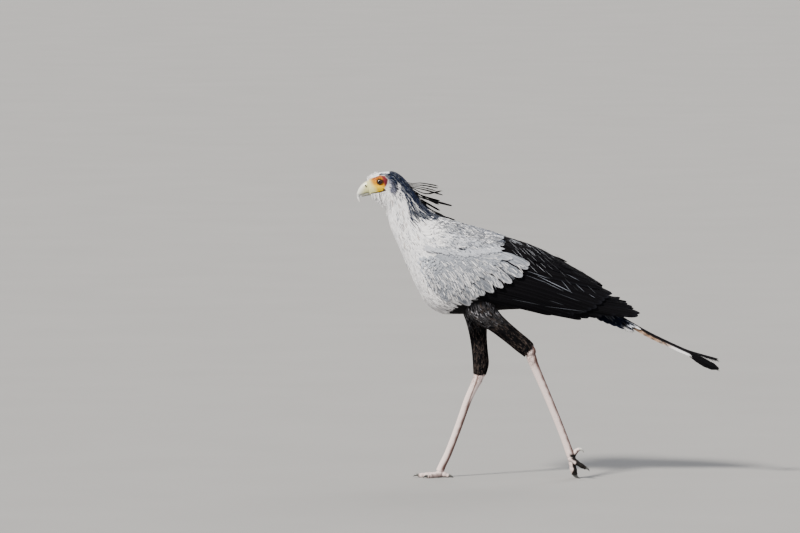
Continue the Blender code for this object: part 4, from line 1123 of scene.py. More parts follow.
def body_coat(coat, rows, gap_along, gap_round, length, half, stray, shown, **kind):
    """Vanes over the body between two rows, in staggered rings, where shown says so. Lengths and halves are
    curves over those rows, in mm."""
    first, last = rows
    t, ring, places = first, 0, []

    def size(sizes, share):
        return curve(sizes, share * (len(sizes) - 1))

    while t < last:
        share = (t - first) / (last - first)
        here = body(np.array([t, t + 0.05]), math.pi / 2)
        per_row = np.linalg.norm(here[1] - here[0]) / 0.05 / MM
        row = curve(BODY, t)
        tall, wide = in_mm(math.hypot(row[0] - row[2], row[1] - row[3])) / 2, row[4]
        round_length = math.pi * (3 * (tall + wide) - math.sqrt((3 * tall + wide) * (tall + 3 * wide)))
        count = max(int(round_length / (gap_round * size(half, share))), 6)
        angle = (np.arange(count) + 0.5 * (ring % 2)) * TURN / count - math.pi
        angle = angle + draw.normal(0, 0.25, count) * TURN / count
        at = t + draw.uniform(-0.4, 0.4, count) * gap_along / per_row
        places.append(np.stack([at, angle, np.full(count, share)]))
        t += gap_along * size(length, share) / per_row
        ring += 1
    t, angle, share = np.concatenate(places, axis=1)
    t = np.clip(t, 0.05, BODY_LAST - 0.3)
    use = (np.abs(angle) < math.pi) & shown(*steps(body(t, angle)), angle)
    t, angle, share = t[use], angle[use], share[use]
    lengths = size(length, share) * draw.uniform(0.85, 1.15, t.shape)
    halves = size(half, share) * draw.uniform(0.85, 1.15, t.shape)
    lay(coat, body, t, angle, lengths, halves, splay=draw.normal(0, stray, t.shape), **kind)


def head_coat(coat):
    def feathered(x, z, angle):
        side = np.abs(np.sin(angle))
        bare = zone(FACE, x, z, 0.5) > 0.4
        return ~(bare & (side > 0.42)) & (x > 371.5 - 2 * (side < 0.4))

    body_coat(
        coat, (0.8, 8.0), 0.30, 1.15, (6.5, 8, 10, 12, 15), (1.5, 1.9, 2.2, 2.6, 3.0), 0.14, feathered,
        colour=shaded(0.14, 0.25), lift=0.5, tip_lift=0.5, tip_cut=1.2,
    )


def neck_coat(coat):
    body_coat(
        coat, (7.2, 11.6), 0.26, 1.05, (15, 20, 24), (3.0, 4.2, 5.6), 0.16, lambda x, z, angle: True,
        colour=shaded(0.12, 0.22), lift=1.2, tip_lift=1.2, tip_cut=1.4, stations=6,
    )


def torso_coat(coat):
    def shown(x, z, angle):
        # Under the folded wing nothing grows
        return ~((zone(WING_COVER, x, z, 3.0) > 0.9) & (np.abs(np.sin(angle)) > 0.55))

    def mottle_tint(points, s):
        chance = draw.random(len(points))
        blue, dark = chance < 0.77, chance < 0.22
        return layered((None, WHITE, 0.75, 1.1), (blue, GREY, 0.3, 1.1), (dark, NAVY, 0.8, 3.0))(points, s)

    body_coat(
        coat, (11.2, 24.4), 0.30, 1.0, (24, 28, 30, 30, 26), (5.8, 7, 7.5, 7.5, 6), 0.14, shown,
        colour=shaded(0.13, 0.25), lift=1.5, tip_lift=1.6, tip_cut=1.2, stations=6, across=5,
    )
    t, angle = draw.uniform(11.4, 18.4, MOTTLES), draw.uniform(-0.75, 0.75, MOTTLES)
    x, z = steps(body(t, angle))
    keep = (x < 503) & (zone(NAPE, x, z, 1.0) < 0.3)
    t, angle = t[keep], angle[keep]
    lay(
        coat, body, t, angle, draw.uniform(7, 15, t.shape), draw.uniform(0.8, 1.7, t.shape), mottle_tint,
        3.6, 3.6, draw.normal(0, 0.2, t.shape),
    )


def hackles(coat):
    """Long narrow feathers down the nape and the sides of the neck, blue-black and streaked with white."""
    t, angle = draw.uniform(4.2, 10.6, HACKLES), draw.normal(0, 0.85, HACKLES)
    x, z = steps(body(t, angle))
    keep = zone(NAPE, x, z, 1.0) > draw.uniform(0.2, 0.7, HACKLES)
    t, angle, x, z = t[keep], angle[keep], x[keep], z[keep]
    low = ramp(184, 192, z) * ramp(400, 406, x)
    chance = draw.random(t.shape)
    pale = chance < 0.02 * low
    dusky = ~pale & (chance < 0.02 * low + 0.16 + 0.30 * ramp(194, 206, z))
    length = draw.uniform(16, 34, t.shape) * (0.45 + 0.55 * ramp(5, 7, t)) * np.where(pale, 1.5, 1.0)
    lay(
        coat, body, t, angle, length, np.where(pale, 1.1, draw.uniform(0.8, 1.7, t.shape)),
        layered((None, NAVY, 0.2, 1.9), (dusky, GREY, 0.12, 0.45), (pale, WHITE, 0.6, 1.0)),
        np.where(pale, 3.0, 1.8)[:, None], np.where(pale, 3.6, 2.6)[:, None],
        draw.normal(0, 0.12, t.shape), 7,
    )


def strands_on_body(coat, side, x, z, droop, length, half, colour, rise, stations=6):
    """Narrow strands over the sides of the head and neck, from places of the side view."""
    s = np.linspace(0, 1, stations)
    run = in_steps(length)[:, None] * s
    u, v = x[:, None] + np.cos(droop)[:, None] * run, z[:, None] + np.sin(droop)[:, None] * run
    outs = ways_out(BODY_WIDTH, u, v, 1)
    arch = (rise * np.sin(np.pi * (0.1 + 0.8 * s)))[None, :, None]
    flip = np.array((1.0, side, 1.0))
    centres = (xyz(u, v, lookup(BODY_WIDTH, u, v)) + outs * arch * MM) * flip
    halves = half[:, None] * MM * bulge(0.15, 0.82, 0.7, s)
    coat.add(centres, outs * flip, halves, colour(centres[:, 0], s), place_under(centres[:, 0]))


def pale_hackles(coat):
    """Single pale feathers over the dark hackles, two from each place."""
    starts = np.repeat(np.array(PALE_HACKLES), 2, axis=0)
    count = len(starts)
    for side in SIDES:
        x, z = starts[:, 0] + draw.normal(0, 0.35, count), starts[:, 1] + draw.normal(0, 0.5, count)
        bright = draw.uniform(0.35, 0.95, count)
        droop, length = draw.normal(1.04, 0.05, count), starts[:, 2] * draw.uniform(0.6, 1.0, count)
        colour = fixed(mix(PALE, WHITE, bright) * bright[:, None])
        strands_on_body(coat, side, x, z, droop, length, draw.uniform(0.5, 1.0, count), colour, 3.4, 9)


def neck_streaks(coat):
    """Soft grey and white feathers down the sides of the neck and throat."""
    for side in SIDES:
        x, z = spread(NECK_SIDE, 1.5, 2.2)
        keep = zone(NAPE, x, z, 1.0) < 0.3
        x, z = x[keep], z[keep]
        count = len(x)
        grey, warm = draw.random(count) < 0.30, draw.random((count, 1)) < 0.4
        droop = np.interp(x, *NECK_DROOP) + 0.3 * ramp(246, 262, z) + draw.normal(0, 0.16, count)
        colour = layered((None, WHITE, 0.9, 1.2), (grey, np.where(warm, THROAT, GREY * 0.9), 0.5, 1.0))
        length, half = draw.uniform(12, 26, count), draw.uniform(0.5, 1.3, count)
        strands_on_body(coat, side, x, z, droop, length, half, colour, 2.2)


def ear_streaks(coat):
    """Fine soft feathers over the ear, with pale streaks behind it, and a dusky line over the brow."""
    x, z = draw.uniform(381.0, 405.0, EAR_FEATHERS), draw.uniform(172.8, 198.0, EAR_FEATHERS)
    side = np.where(draw.random(EAR_FEATHERS) < 0.5, LEFT, RIGHT)
    dark = zone(EAR, x, z, 2.6) > draw.uniform(0.3, 0.7, EAR_FEATHERS)
    for one in SIDES:
        mine = (side == one) & (zone(NAPE, x, z, 1.0) < 0.8) & ((x > 389.0) | (z < 174.2))
        u, v, count = x[mine], z[mine], mine.sum()
        deep = mix(np.broadcast_to(LILAC, (count, 3)), SLATE, ramp(389.5, 394.0, u + 0.5 * (184.0 - v)))
        behind = (u > 398.6) & (draw.random(count) < 0.6)
        above = (v < 180) & (draw.random(count) < 0.8 * ramp(381.0, 388.0, u))
        shade = np.where((behind | above)[:, None], NAVY * 1.5, WHITE * draw.uniform(0.6, 1.1, (count, 1)))
        shade = np.where(dark[mine, None], deep * draw.uniform(0.35, 1.9, (count, 1)), shade)
        droop = draw.normal(0.95, 0.16, count) * ramp(387, 391, u)
        length, half = draw.uniform(7, 13, count), draw.uniform(0.5, 1.0, count)
        strands_on_body(coat, one, u, v, droop, length, half, fixed(shade), 1.8)
        count = BROW_FEATHERS
        u = draw.uniform(378.5, 391.0, count)
        v = np.interp(u, *BROW_LEVEL) + draw.normal(0, 0.25, count)
        dusk = np.where(draw.random((count, 1)) < 0.7, SLATE * 1.6, GREY)
        dusk = dusk * draw.uniform(0.6, 1.4, (count, 1))
        droop, length = draw.normal(0.0, 0.1, count), draw.uniform(5, 9, count)
        strands_on_body(coat, one, u, v, droop, length, draw.uniform(0.4, 0.8, count), fixed(dusk), 2.0)


def hanging_strands(coat, roots, ways, length, half, colour, sag, stations=6, places=None):
    """Bristles that leave their roots one way and bend down by their own weight. roots are in metres."""
    s = np.linspace(0, 1, stations)
    length = length[:, None, None] * MM
    centres = roots[:, None, :] + ways[:, None, :] * length * s[None, :, None]
    centres = centres - UP * sag * length * (s**2)[None, :, None]
    outs = np.broadcast_to(unit(np.array((0.0, 1.0, 0.15))), centres.shape)
    outs = unit(outs + draw.normal(0, 0.4, (len(roots), 1, 3)))
    tints = colour(roots, s)
    places = place_under(roots) if places is None else places
    coat.add(centres, outs, half[:, None] * MM * (1 - 0.85 * s**1.5)[None, :], tints, places)


def bristles(coat):
    """The white beard under the bill and throat, and the tuft over the forehead."""
    t = draw.uniform(0.6, 6.0, BEARD)
    roots = body(t, math.pi + np.clip(draw.normal(0, 0.4, BEARD), -0.8, 0.8))
    centre = (body(t, 0) + body(t, math.pi)) / 2
    ways = unit(roots - centre) + np.array((0.3, 0, -0.9)) + draw.normal(0, 0.16, (BEARD, 3))
    size = 9 + 19 * ramp(0.5, 3.4, t) * draw.uniform(0.3, 1.0, BEARD)
    hanging_strands(coat, roots, unit(ways), size, draw.uniform(0.45, 1.05, BEARD), plain(WHITE, 0.22), 0.3)
    t = draw.uniform(0.5, 2.6, FOREHEAD)
    roots = body(t, draw.normal(0, 0.40, FOREHEAD))
    ways = np.array((0.05, 0, 0.9)) + np.array((0.4, 0, 0)) * ramp(0.5, 2.4, t)[:, None]
    ways = unit(ways + draw.normal(0, 0.2, (FOREHEAD, 3)))
    size, half = draw.uniform(4, 11, FOREHEAD), draw.uniform(0.35, 0.7, FOREHEAD)
    hanging_strands(coat, roots, ways, size, half, plain(WHITE * 1.1, 0.08), 0.15)


def breast_tufts(coat):
    """Loose white feathers where the breast ends over the thighs."""
    t = draw.uniform(12.2, 16.4, BREAST_TUFTS)
    side = np.where(draw.random(BREAST_TUFTS) < 0.5, LEFT, RIGHT)
    angle = side * (math.pi - np.abs(draw.normal(0, 0.8, BREAST_TUFTS)))
    x, z = steps(body(t, angle))
    keep = (zone(BELLY, x, z, 1.0) < 0.5) & (x > 420)
    t, angle = t[keep], angle[keep]
    lay(
        coat, body, t, angle, draw.uniform(22, 40, t.shape), draw.uniform(1.2, 3.0, t.shape),
        plain(WHITE * 1.05, 0.12, 0.1), 3.5, 3.5, draw.normal(0, 0.3, t.shape), 7, tip_cut=2.0,
    )


def wing_droop(x, z):
    """How far below level the coverts point: steep at the wing's lower edge and flatter above."""
    share = np.clip((z - (244 + 0.12 * (x - 430))) / 50, 0, 1)
    return np.radians(20 + 30 * share)


def lesser_tint(points):
    x, z = steps(points)
    colour = mix(np.broadcast_to(GREY * 0.66, (*x.shape, 3)), GREY * 1.1, ramp(436, 414, x))
    return mix(colour, PALE * 0.8, 0.4 * np.clip(np.sin(x * 0.5) * np.sin(z * 0.45 + x * 0.1) + 0.3, 0, 1))


def covert_tint(across):
    """Grey feathers, darker along the middle, with soft pale rims and pale tips."""
    a = np.linspace(-1, 1, across)

    def colour(points, s):
        count = len(points)
        base = lesser_tint(points) * (1 + draw.normal(0, 0.12, (count, 1)))
        streak = np.exp(-(((a[None, :] - draw.uniform(-0.5, 0.3, (count, 1))) / 0.28) ** 2))
        shade = 0.65 * streak[:, None, :] * (ramp(0.25, 0.6, s) * ramp(1.0, 0.86, s))[None, :, None]
        colours = mix(base[:, None, None, :], GREY * 0.42, shade)
        rim = ramp(0.55, 1.0, np.abs(a))[None, :] * ramp(0.3, 0.7, s)[:, None]
        rim = np.maximum(rim, 0.8 * ramp(0.84, 1.0, s)[:, None])
        return clipped(mix(colours, WHITE * 0.95, draw.uniform(0.2, 0.8, (count, 1, 1)) * rim[None]))

    return colour


def flight_tint(base, edge):
    return edged(base, edge, 0.15, 5, 0.5, 0.95)


def sheen_streak_tint(points, s):
    """Pale streaks with painted sheen, bright behind the mantle and fainter towards the wing's tip."""
    x, _ = steps(points)
    base = mix(np.broadcast_to(GREY * 0.15, points.shape), PALE * 0.8, 0.12 + 0.88 * ramp(560, 530, x))
    base = base * draw.uniform(0.3, 1.1, (len(points), 1))
    return base[:, None, :] * (0.4 + 0.6 * np.sin(np.pi * s))[None, :, None]


def mantle_colour(across):
    """Pale grey with whitish edges, here and there a dark fleck, and painted shade along the lower edge."""
    a = np.abs(np.linspace(-1, 1, across))

    def colour(points, s):
        x, z = steps(points)
        level = (z - np.interp(x, *MANTLE_TOP)) / 20
        base = mix(np.broadcast_to(PALE * 0.44, points.shape), PALE * 0.8, ramp(0.2, 0.8, level))
        # Painted shade along the mantle's lower edge
        base = mix(base, GREY * 0.85, 0.8 * ramp(232, 244, z) * ramp(450, 466, x))
        base = mix(base, WHITE, ramp(448, 430, x))
        base = base * (1 + draw.normal(0, 0.16, (len(points), 1)))
        fleck = draw.random(len(points)) < 0.30 * ramp(0.9, 0.1, level) * ramp(430, 442, x)
        rim = 0.45 * ramp(0.3, 1.0, a)[None, :] * ramp(0.1, 0.6, s)[:, None]
        colours = mix(base[:, None, None, :], WHITE, rim[None])
        middle = (ramp(0.55, 0.75, s) * ramp(1.0, 0.85, s))[None, :, None] * (a < 0.6)[None, None, :]
        return clipped(mix(colours, GREY * 0.25, fleck[:, None, None] * middle))

    return colour


def lay_tier(coat, side, name, colour, **vane):
    roots, tips, depths, half, count, bow, stations, across, tilt, wander, narrows = TIERS[name]
    deep, first, last = depths
    share = np.clip((np.arange(count) + draw.uniform(-0.2, 0.2, count)) / (count - 1), 0, 1)
    start = curve(roots, share * (len(roots) - 1)) + draw.normal(0, wander, (count, 2))
    way = curve(tips, share * (len(tips) - 1)) + draw.normal(0, wander, (count, 2)) - start
    depths = (np.full(count, deep), first + (last - first) * share)
    lay_flank(
        coat, side, *start.T, np.arctan2(way[:, 1], way[:, 0]), in_mm(np.hypot(*way.T)),
        half * draw.uniform(0.78, 1.14, count), colour, depths,
        stations, bow, tilt, narrows, True, across=across, **vane,
    )


def flight_coat(coat, side):
    """The black feathers of one side: the wing's flight feathers, the scapulars and thin pale streaks with
    painted sheen.
    """
    lay_tier(coat, side, "primary", flight_tint(BLACK, SHEEN))
    lay_tier(coat, side, "secondary", flight_tint(BLACK * 1.2, SHEEN * 1.4))
    lay_tier(coat, side, "tertial", flight_tint(BLACK, SHEEN))
    x, z = spread(SCAPULARS, 4.2, 3.4)
    lay_flank(
        coat, side, x, z, draw.normal(0.46, 0.05, x.shape), draw.uniform(48, 80, x.shape), 6.5,
        flight_tint(BLACK, SHEEN), (2.0, -2.2), 9, 0.8, 0.1, across=5, tip_cut=1.0,
    )
    x, z = spread(BLACK_STREAKS, 3.5, 7.5, 0.16)
    keep = draw.random(x.shape) < 0.3 + 0.6 * ramp(552, 534, x)
    x, z = x[keep], z[keep]
    lay_flank(
        coat, side, x, z, draw.normal(0.77, 0.03, x.shape), draw.uniform(20, 38, x.shape), 0.42,
        sheen_streak_tint, (-2.4, -3.8), 7, 0.0, 0.0, across=3, camber=0.6,
    )
    x0, z0, x1, z1, bright = np.array(LONG_STREAKS).T

    def long_sheen_tint(points, s):
        return GREY * bright[:, None, None] * (0.35 + 0.65 * np.sin(np.pi * s))[None, :, None]

    lay_flank(
        coat, side, x0, z0, np.arctan2(z1 - z0, x1 - x0), in_mm(np.hypot(x1 - x0, z1 - z0)), 0.55,
        long_sheen_tint, (-2.2, -3.2), 9, 0.0, 0.0, across=3, camber=0.6,
    )


def covert_coat(coat, side):
    """The grey wing of one side, and the mantle above it."""
    lay_tier(coat, side, "greater", covert_tint(11), tip_cut=2.4)
    lay_tier(coat, side, "median", covert_tint(7), tip_cut=0.8)
    lay_tier(coat, side, "upper_median", covert_tint(5), tip_cut=0.8)
    x, z = spread(LESSER, 3.0, 2.4)
    smooth = ramp(452, 430, x) * ramp(282, 268, z)
    lay_flank(
        coat, side, x, z, wing_droop(x, z) + draw.normal(0, 0.07, x.shape), draw.uniform(20, 28, x.shape),
        draw.uniform(4.4, 5.8, x.shape), edged(lesser_tint, PALE * 1.15, 0.06, 5, 0.3, 0.75),
        (1.0 + 8 * ramp(446, 420, x), -1.9 + 0.9 * smooth), 7, 0.0, 0.05, across=5, tip_cut=1.2,
    )
    wing_streaks(coat, side)
    x, z = spread(MANTLE_FLANK, 3.4, 2.6)
    forward = ramp(446, 424, x)
    lowest = ramp(-5.0, -0.5, z - np.interp(x, *MANTLE_LOW))
    tips = -2.3 + 3.6 * forward + 1.9 * lowest * (1 - forward)
    lay_flank(
        coat, side, x, z, draw.normal(0.36, 0.10, x.shape), draw.uniform(24, 36, x.shape),
        draw.uniform(5.0, 7.0, x.shape), mantle_colour(5), (1.0 + 9 * forward, tips), 7, 0.0, 0.05,
        across=5, tip_cut=1.2,
    )
    mantle_mottle(coat, side)
    # Grey feathers along the mantle's lower edge: a soft line of painted shade
    count = SEAM_FEATHERS
    share = draw.uniform(0, 1, count)
    places = curve(MANTLE_EDGE, share * (len(MANTLE_EDGE) - 1)).T + draw.normal(0, 0.8, (2, count))
    x, z = places + np.array([[0.0], [2.6]]) * draw.random(count)
    colour = fixed(mix(GREY * 0.7, PALE, draw.uniform(0.35, 1.0, count)))
    lay_flank(
        coat, side, x, z, draw.normal(0.34, 0.12, count), draw.uniform(12, 24, count),
        draw.uniform(0.8, 2.2, count), colour, (-2.6, -3.6), 7, 0.0, 0.0, across=3, camber=0.4,
    )


def wing_streaks(coat, side):
    """Long soft streaks over the coverts: whitish where the loose edges of the feathers show, and dark ones
    of painted shade between the feathers.
    """
    x, z = spread(STREAKED, 2.3, 2.6)
    keep = draw.random(x.shape) < 0.25 + 0.75 * ramp(262, 274, z + 0.12 * (x - 440))
    x, z = x[keep], z[keep]
    white = draw.random(x.shape) < 0.48
    droop = wing_droop(x, z) + 0.28 + draw.normal(0, 0.10, x.shape)
    lay_flank(
        coat, side, x, z, droop, draw.uniform(9, 24, x.shape),
        np.where(white, draw.uniform(0.6, 1.7, x.shape), 0.55),
        # The dark streaks are painted shade between the feathers
        layered((None, WHITE, 0.55, 1.05), (~white, GREY, 0.3, 0.8)),
        (-2.2, -3.4), 6, 0.4, 0.0, across=3, camber=0.4,
    )


def mantle_mottle(coat, side):
    """Small dark and white marks over the mantle, closest along the ridge of the back."""
    x, z = spread(MOTTLED, 2.2, 1.9)
    level = (z - np.interp(x, *MANTLE_TOP)) / 22
    keep = draw.random(x.shape) < (0.45 + 0.45 * ramp(0.8, 0.1, level)) * ramp(424, 440, x)
    x, z, level = x[keep], z[keep], level[keep]
    chance = draw.random(x.shape)
    dark = chance < 0.26 * ramp(0.6, 0.0, level)
    blue = ~dark & (chance < 0.64)
    lay_flank(
        coat, side, x, z, draw.normal(0.5, 0.16, x.shape), draw.uniform(5, 13, x.shape),
        draw.uniform(0.7, 1.5, x.shape),
        layered((None, WHITE, 0.9, 1.15), (blue, GREY, 0.25, 0.8), (dark, NAVY, 0.8, 2.5)),
        (-3.4, -4.4), 5, 0.0, 0.0, across=3, camber=0.4,
    )


def back_coat(coat):
    """The black feathers that close over the back between the folded wings, and the rump."""
    rows = np.arange(492.0, 584.0, 3.4)
    top, reach = np.interp(rows, *BACK_TOP), np.interp(rows, *BACK_REACH)

    def ways(lean, v):
        return unit(np.stack([np.full(v.shape, lean), v * 0.9, np.full(v.shape, 0.9)], axis=-1))

    s = np.linspace(0, 1, 8)
    for x, width in zip(rows, reach):
        count = int(width * 2 / 7)
        v = (np.linspace(-1, 1, count) + draw.normal(0, 0.05, count))[:, None] + 0 * s
        u = x + in_steps(np.outer(draw.uniform(50, 70, count), s)) * 0.92
        level = np.interp(u, rows, top) + np.maximum(u - rows[-1], 0) * 0.62 + 3.4 * v**2 + 0.8 - 1.2 * s
        centres = xyz(u, level, v * np.interp(u, rows, reach))
        tints = fixed(BLACK * draw.uniform(0.7, 1.3, (count, 1)))(u, s)
        halves = draw.uniform(6, 8, count)[:, None] * MM * bulge(0.15, 0.8, 0.5, s)
        coat.add(centres, ways(0.35, v), halves, tints, place_under(centres[:, 0]), across=5, tip_cut=1.0)
    # Thin pale streaks over the black back: pale edges with painted sheen on them
    count = BACK_STREAKS
    s = np.linspace(0, 1, 7)
    x, side = draw.uniform(507, 556, count), draw.choice(SIDES, count)
    v = (draw.uniform(0.45, 0.95, count)[:, None] + 0.45 * s) * side[:, None]
    u = x[:, None] + in_steps(np.outer(draw.uniform(18, 32, count), s)) * 0.85
    level = np.interp(u, rows, top) + 3.4 * v**2 - 0.9
    centres = xyz(u, level, v * np.interp(u, rows, reach))
    halves = 0.45 * MM * bulge(0.1, 0.85, 1, s) * np.ones((count, 1))
    tints = sheen_streak_tint(centres[:, 0], s)
    coat.add(centres, ways(0.3, v), halves, tints, place_under(centres[:, 0]), camber=0.6)


def thigh_coat(coat, side):
    """The black trousers, down to the ankle."""
    surface = thigh_surface(side, -2.0)
    last = len(THIGH[side]) - 1
    t, angle = [], []
    for i, row in enumerate(np.arange(0.2, last - 0.1, 0.14)):
        count = int(TURN * curve(THIGH[side], row)[4] / 2.5)
        t.append(row + draw.uniform(-0.06, 0.06, count))
        angle.append((np.arange(count) + 0.5 * (i % 2) + draw.normal(0, 0.2, count)) * TURN / count)
    t, angle = np.concatenate(t), np.concatenate(angle)
    places = surface(t, angle)
    outside = places[:, 1] * side > FOOT_Y[side] * MM - 2 * MM
    bare = (zone(KNOBS[side], *steps(places), 0.01) > 0.5) & (outside | (side == LEFT))
    t, angle = t[~bare], angle[~bare]
    fringe = draw.random(t.shape) < 0.26

    def colour(points, s):
        x, z = steps(points)
        count = len(points)
        base = BLACK * draw.uniform(0.7, 1.6, (count, 1))
        base = np.where(fringe[:, None], BROWN * draw.uniform(0.7, 2.0, (count, 1)), base)
        chance = draw.random(count)
        top = ramp(336, 318, z + 0.25 * (x - 470))
        grey = mix(base, THIGH_GREY * draw.uniform(0.3, 1.2, (count, 1)), 0.9 * top * (chance < 0.62))
        # Bright grey specks over the top of the thigh: painted highlights
        shade = mix(grey, THIGH_GREY * 4.0, top * (chance > 0.9))
        return shade[:, None, :] * (0.35 + 1.2 * s**2)[None, :, None]

    lay(
        coat, surface, t, angle, draw.uniform(12, 20, t.shape) * ramp(last + 1.6, last - 1.5, t) + 3,
        draw.uniform(1.3, 2.5, t.shape), colour, 1.3, 1.2, draw.normal(0, 0.2, t.shape), 6, last,
        tip_cut=1.5,
    )


def single(coat, centres, facing, halves, tints, **vane):
    """One feather along a line of points that faces one way, with half widths in metres."""
    outs = np.broadcast_to(unit(np.array(facing)), (1, *centres.shape))
    coat.add(centres[None], outs, halves[None], tints[None], **vane)


def plume_coat(coat):
    """The long plumes of the crest: thin at the root, widest near the tip, with loose barbs along them."""
    s = np.sin(np.linspace(0, math.pi / 2, 34))
    for line, ys, half in PLUMES:
        points = curve(line, s * (len(line) - 1))
        centres = xyz(points[:, 0], points[:, 1], curve(ys, s * 2))
        shape = 0.62 + 0.38 * ramp(0.35, 0.8, s)
        shape = shape * rounded(s, 0.84, 0.161, 0.01)
        wobble = 1 + 0.07 * np.sin(s * 40 + half * 9)
        facing = (0.25, math.copysign(0.75, ys[1]), 0.5)
        tints = np.tile(BLACK * 0.9, (len(s), 1))
        single(coat, centres, facing, half * MM * shape * wobble, tints, across=5)
        count = PLUME_BARBS
        at = draw.uniform(0.5, 0.98, count)
        place = curve(line, at * (len(line) - 1))
        ahead = curve(line, np.minimum(at + 0.03, 1) * (len(line) - 1)) - place
        way = unit(np.stack([ahead[:, 0], 0 * at, -ahead[:, 1]], axis=-1))
        off = np.stack([-way[:, 2], 0.3 * draw.normal(0, 1, count), way[:, 0]], axis=-1)
        way = unit(way + off * draw.choice((-1, 1), count)[:, None] * 0.3)
        roots = xyz(place[:, 0], place[:, 1], curve(ys, at * 2))
        length, thin = draw.uniform(4, 9, count), np.full(count, 0.35)
        hanging_strands(coat, roots, way, length, thin, plain(BLACK), 0.1, 4)


def short_tail_feathers(coat):
    s = np.sin(np.linspace(0, math.pi / 2, 22))
    for i, (x, z, y, half) in enumerate(RECTRICES):
        for side in SIDES:
            u = TAIL_ROOT[0] + (x - TAIL_ROOT[0]) * s
            v = TAIL_ROOT[1] - 0.8 * i + (z - TAIL_ROOT[1] + 0.8 * i) * s - TAIL_BOW * 4 * s * (1 - s)
            centres = xyz(u, v, side * (y * s**0.8 + TAIL_ROOT_Y * (1 - s)))
            shape = 0.4 + 0.6 * ramp(0.0, 0.5, s)
            shape = shape * rounded(s, 0.86, 0.141, 0.01)
            base = mix(BLACK, NAVY, np.full(len(s), 0.5))
            base = mix(base, WHITE * 0.8, ramp(0.80, 0.9, s) * (i == len(RECTRICES) - 1) * 0.8)
            single(coat, centres, (0.45, 0.5 * side, 0.8), half * MM * shape, base, across=7)


def spaced(count):
    """Shares from 0 to 1, evenly spread for any count."""
    return np.mod(np.arange(count) * GOLDEN, 1)


def tail_coverts(coat):
    """Fringed coverts round the tail's root, barbs that hang like a comb from the last of them, and white
    feathers over the root of the long ones."""
    count = TAIL_COVERTS
    s = np.linspace(0, 1, 6)
    at, turn = draw.uniform(0, 1, count), draw.uniform(0, TURN, count)
    x, z = 584 + 42 * at, 303 + 19 * at
    base = xyz(x, z, np.cos(turn) * (19 - 5 * at)) + UP * (np.sin(turn) * (13 - 9 * at) * MM)[:, None]
    way = np.stack([np.full(count, 1.0), 0.14 * np.cos(turn), -0.62 + 0.25 * np.sin(turn)], axis=-1)
    way = unit(unit(way) + draw.normal(0, 0.10, (count, 3)))
    length = draw.uniform(18, 34, count)[:, None, None] * MM
    centres = base[:, None] + way[:, None] * length * s[None, :, None]
    centres[..., 2] -= 0.12 * length[..., 0] * s[None] ** 2
    outs = unit(np.stack([0.2 + 0 * x, np.cos(turn), np.sin(turn) + 0.2], axis=-1))
    pale = (zone(TAIL_PATCH, x + 7, z + 3, 1.0) > 0.5) & (draw.random(count) < 0.7)
    shade = mix(BLACK, NAVY, draw.random(count))
    shade = np.where(draw.random(count)[:, None] < 0.3, GREY * draw.uniform(0.08, 0.3, (count, 1)), shade)
    shade = np.where(pale[:, None], PALE * 1.2, shade)
    halves = draw.uniform(1.0, 3.4, count)[:, None] * MM * bulge(0.2, 0.75, 0.7, s)
    places = tail_place(x, 0.5 * turn / TURN)
    outs = np.broadcast_to(outs[:, None], centres.shape)
    coat.add(centres, outs, halves, fixed(shade)(x, s), places, tip_cut=1.4)
    count = COMB_BARBS
    along = draw.uniform(0, 1, count)
    flank = np.where(draw.random(count) < 0.5, LEFT, RIGHT)
    comb = xyz(598 + 33 * along, 314 + 13 * along, flank * draw.uniform(9, 15, count))
    fall = unit(np.stack([draw.normal(0.55, 0.1, count), 0 * along, np.full(count, -0.8)], axis=-1))
    dark = draw.random(count) < 0.8

    def comb_tint(points, s):
        return fixed(np.where(dark[:, None], mix(BLACK, NAVY, draw.random(count)), PALE * 0.8))(points, s)

    hanging_strands(
        coat, comb, fall, draw.uniform(12, 24, count), draw.uniform(0.5, 1.1, count), comb_tint, 0.1, 6,
        tail_place(598 + 33 * along, 0.55 + 0.1 * spaced(count)),
    )
    for side in SIDES:
        for k in range(ROOT_FEATHERS):
            centres = xyz(627.5 + 11.5 * s + 0.8 * k, 321.4 + 6.0 * s + 0.7 * k, side * (13.5 + 0.3 * k))
            tint = mix(np.broadcast_to(WHITE, (len(s), 3)), GREY * 0.8, ramp(0.5, 0.0, s))
            halves = 3.0 * MM * bulge(0.15, 0.75, 0.8, s)
            single(coat, centres, (0.3, side * 0.85, 0.45), halves, tint, tip_cut=1.6)


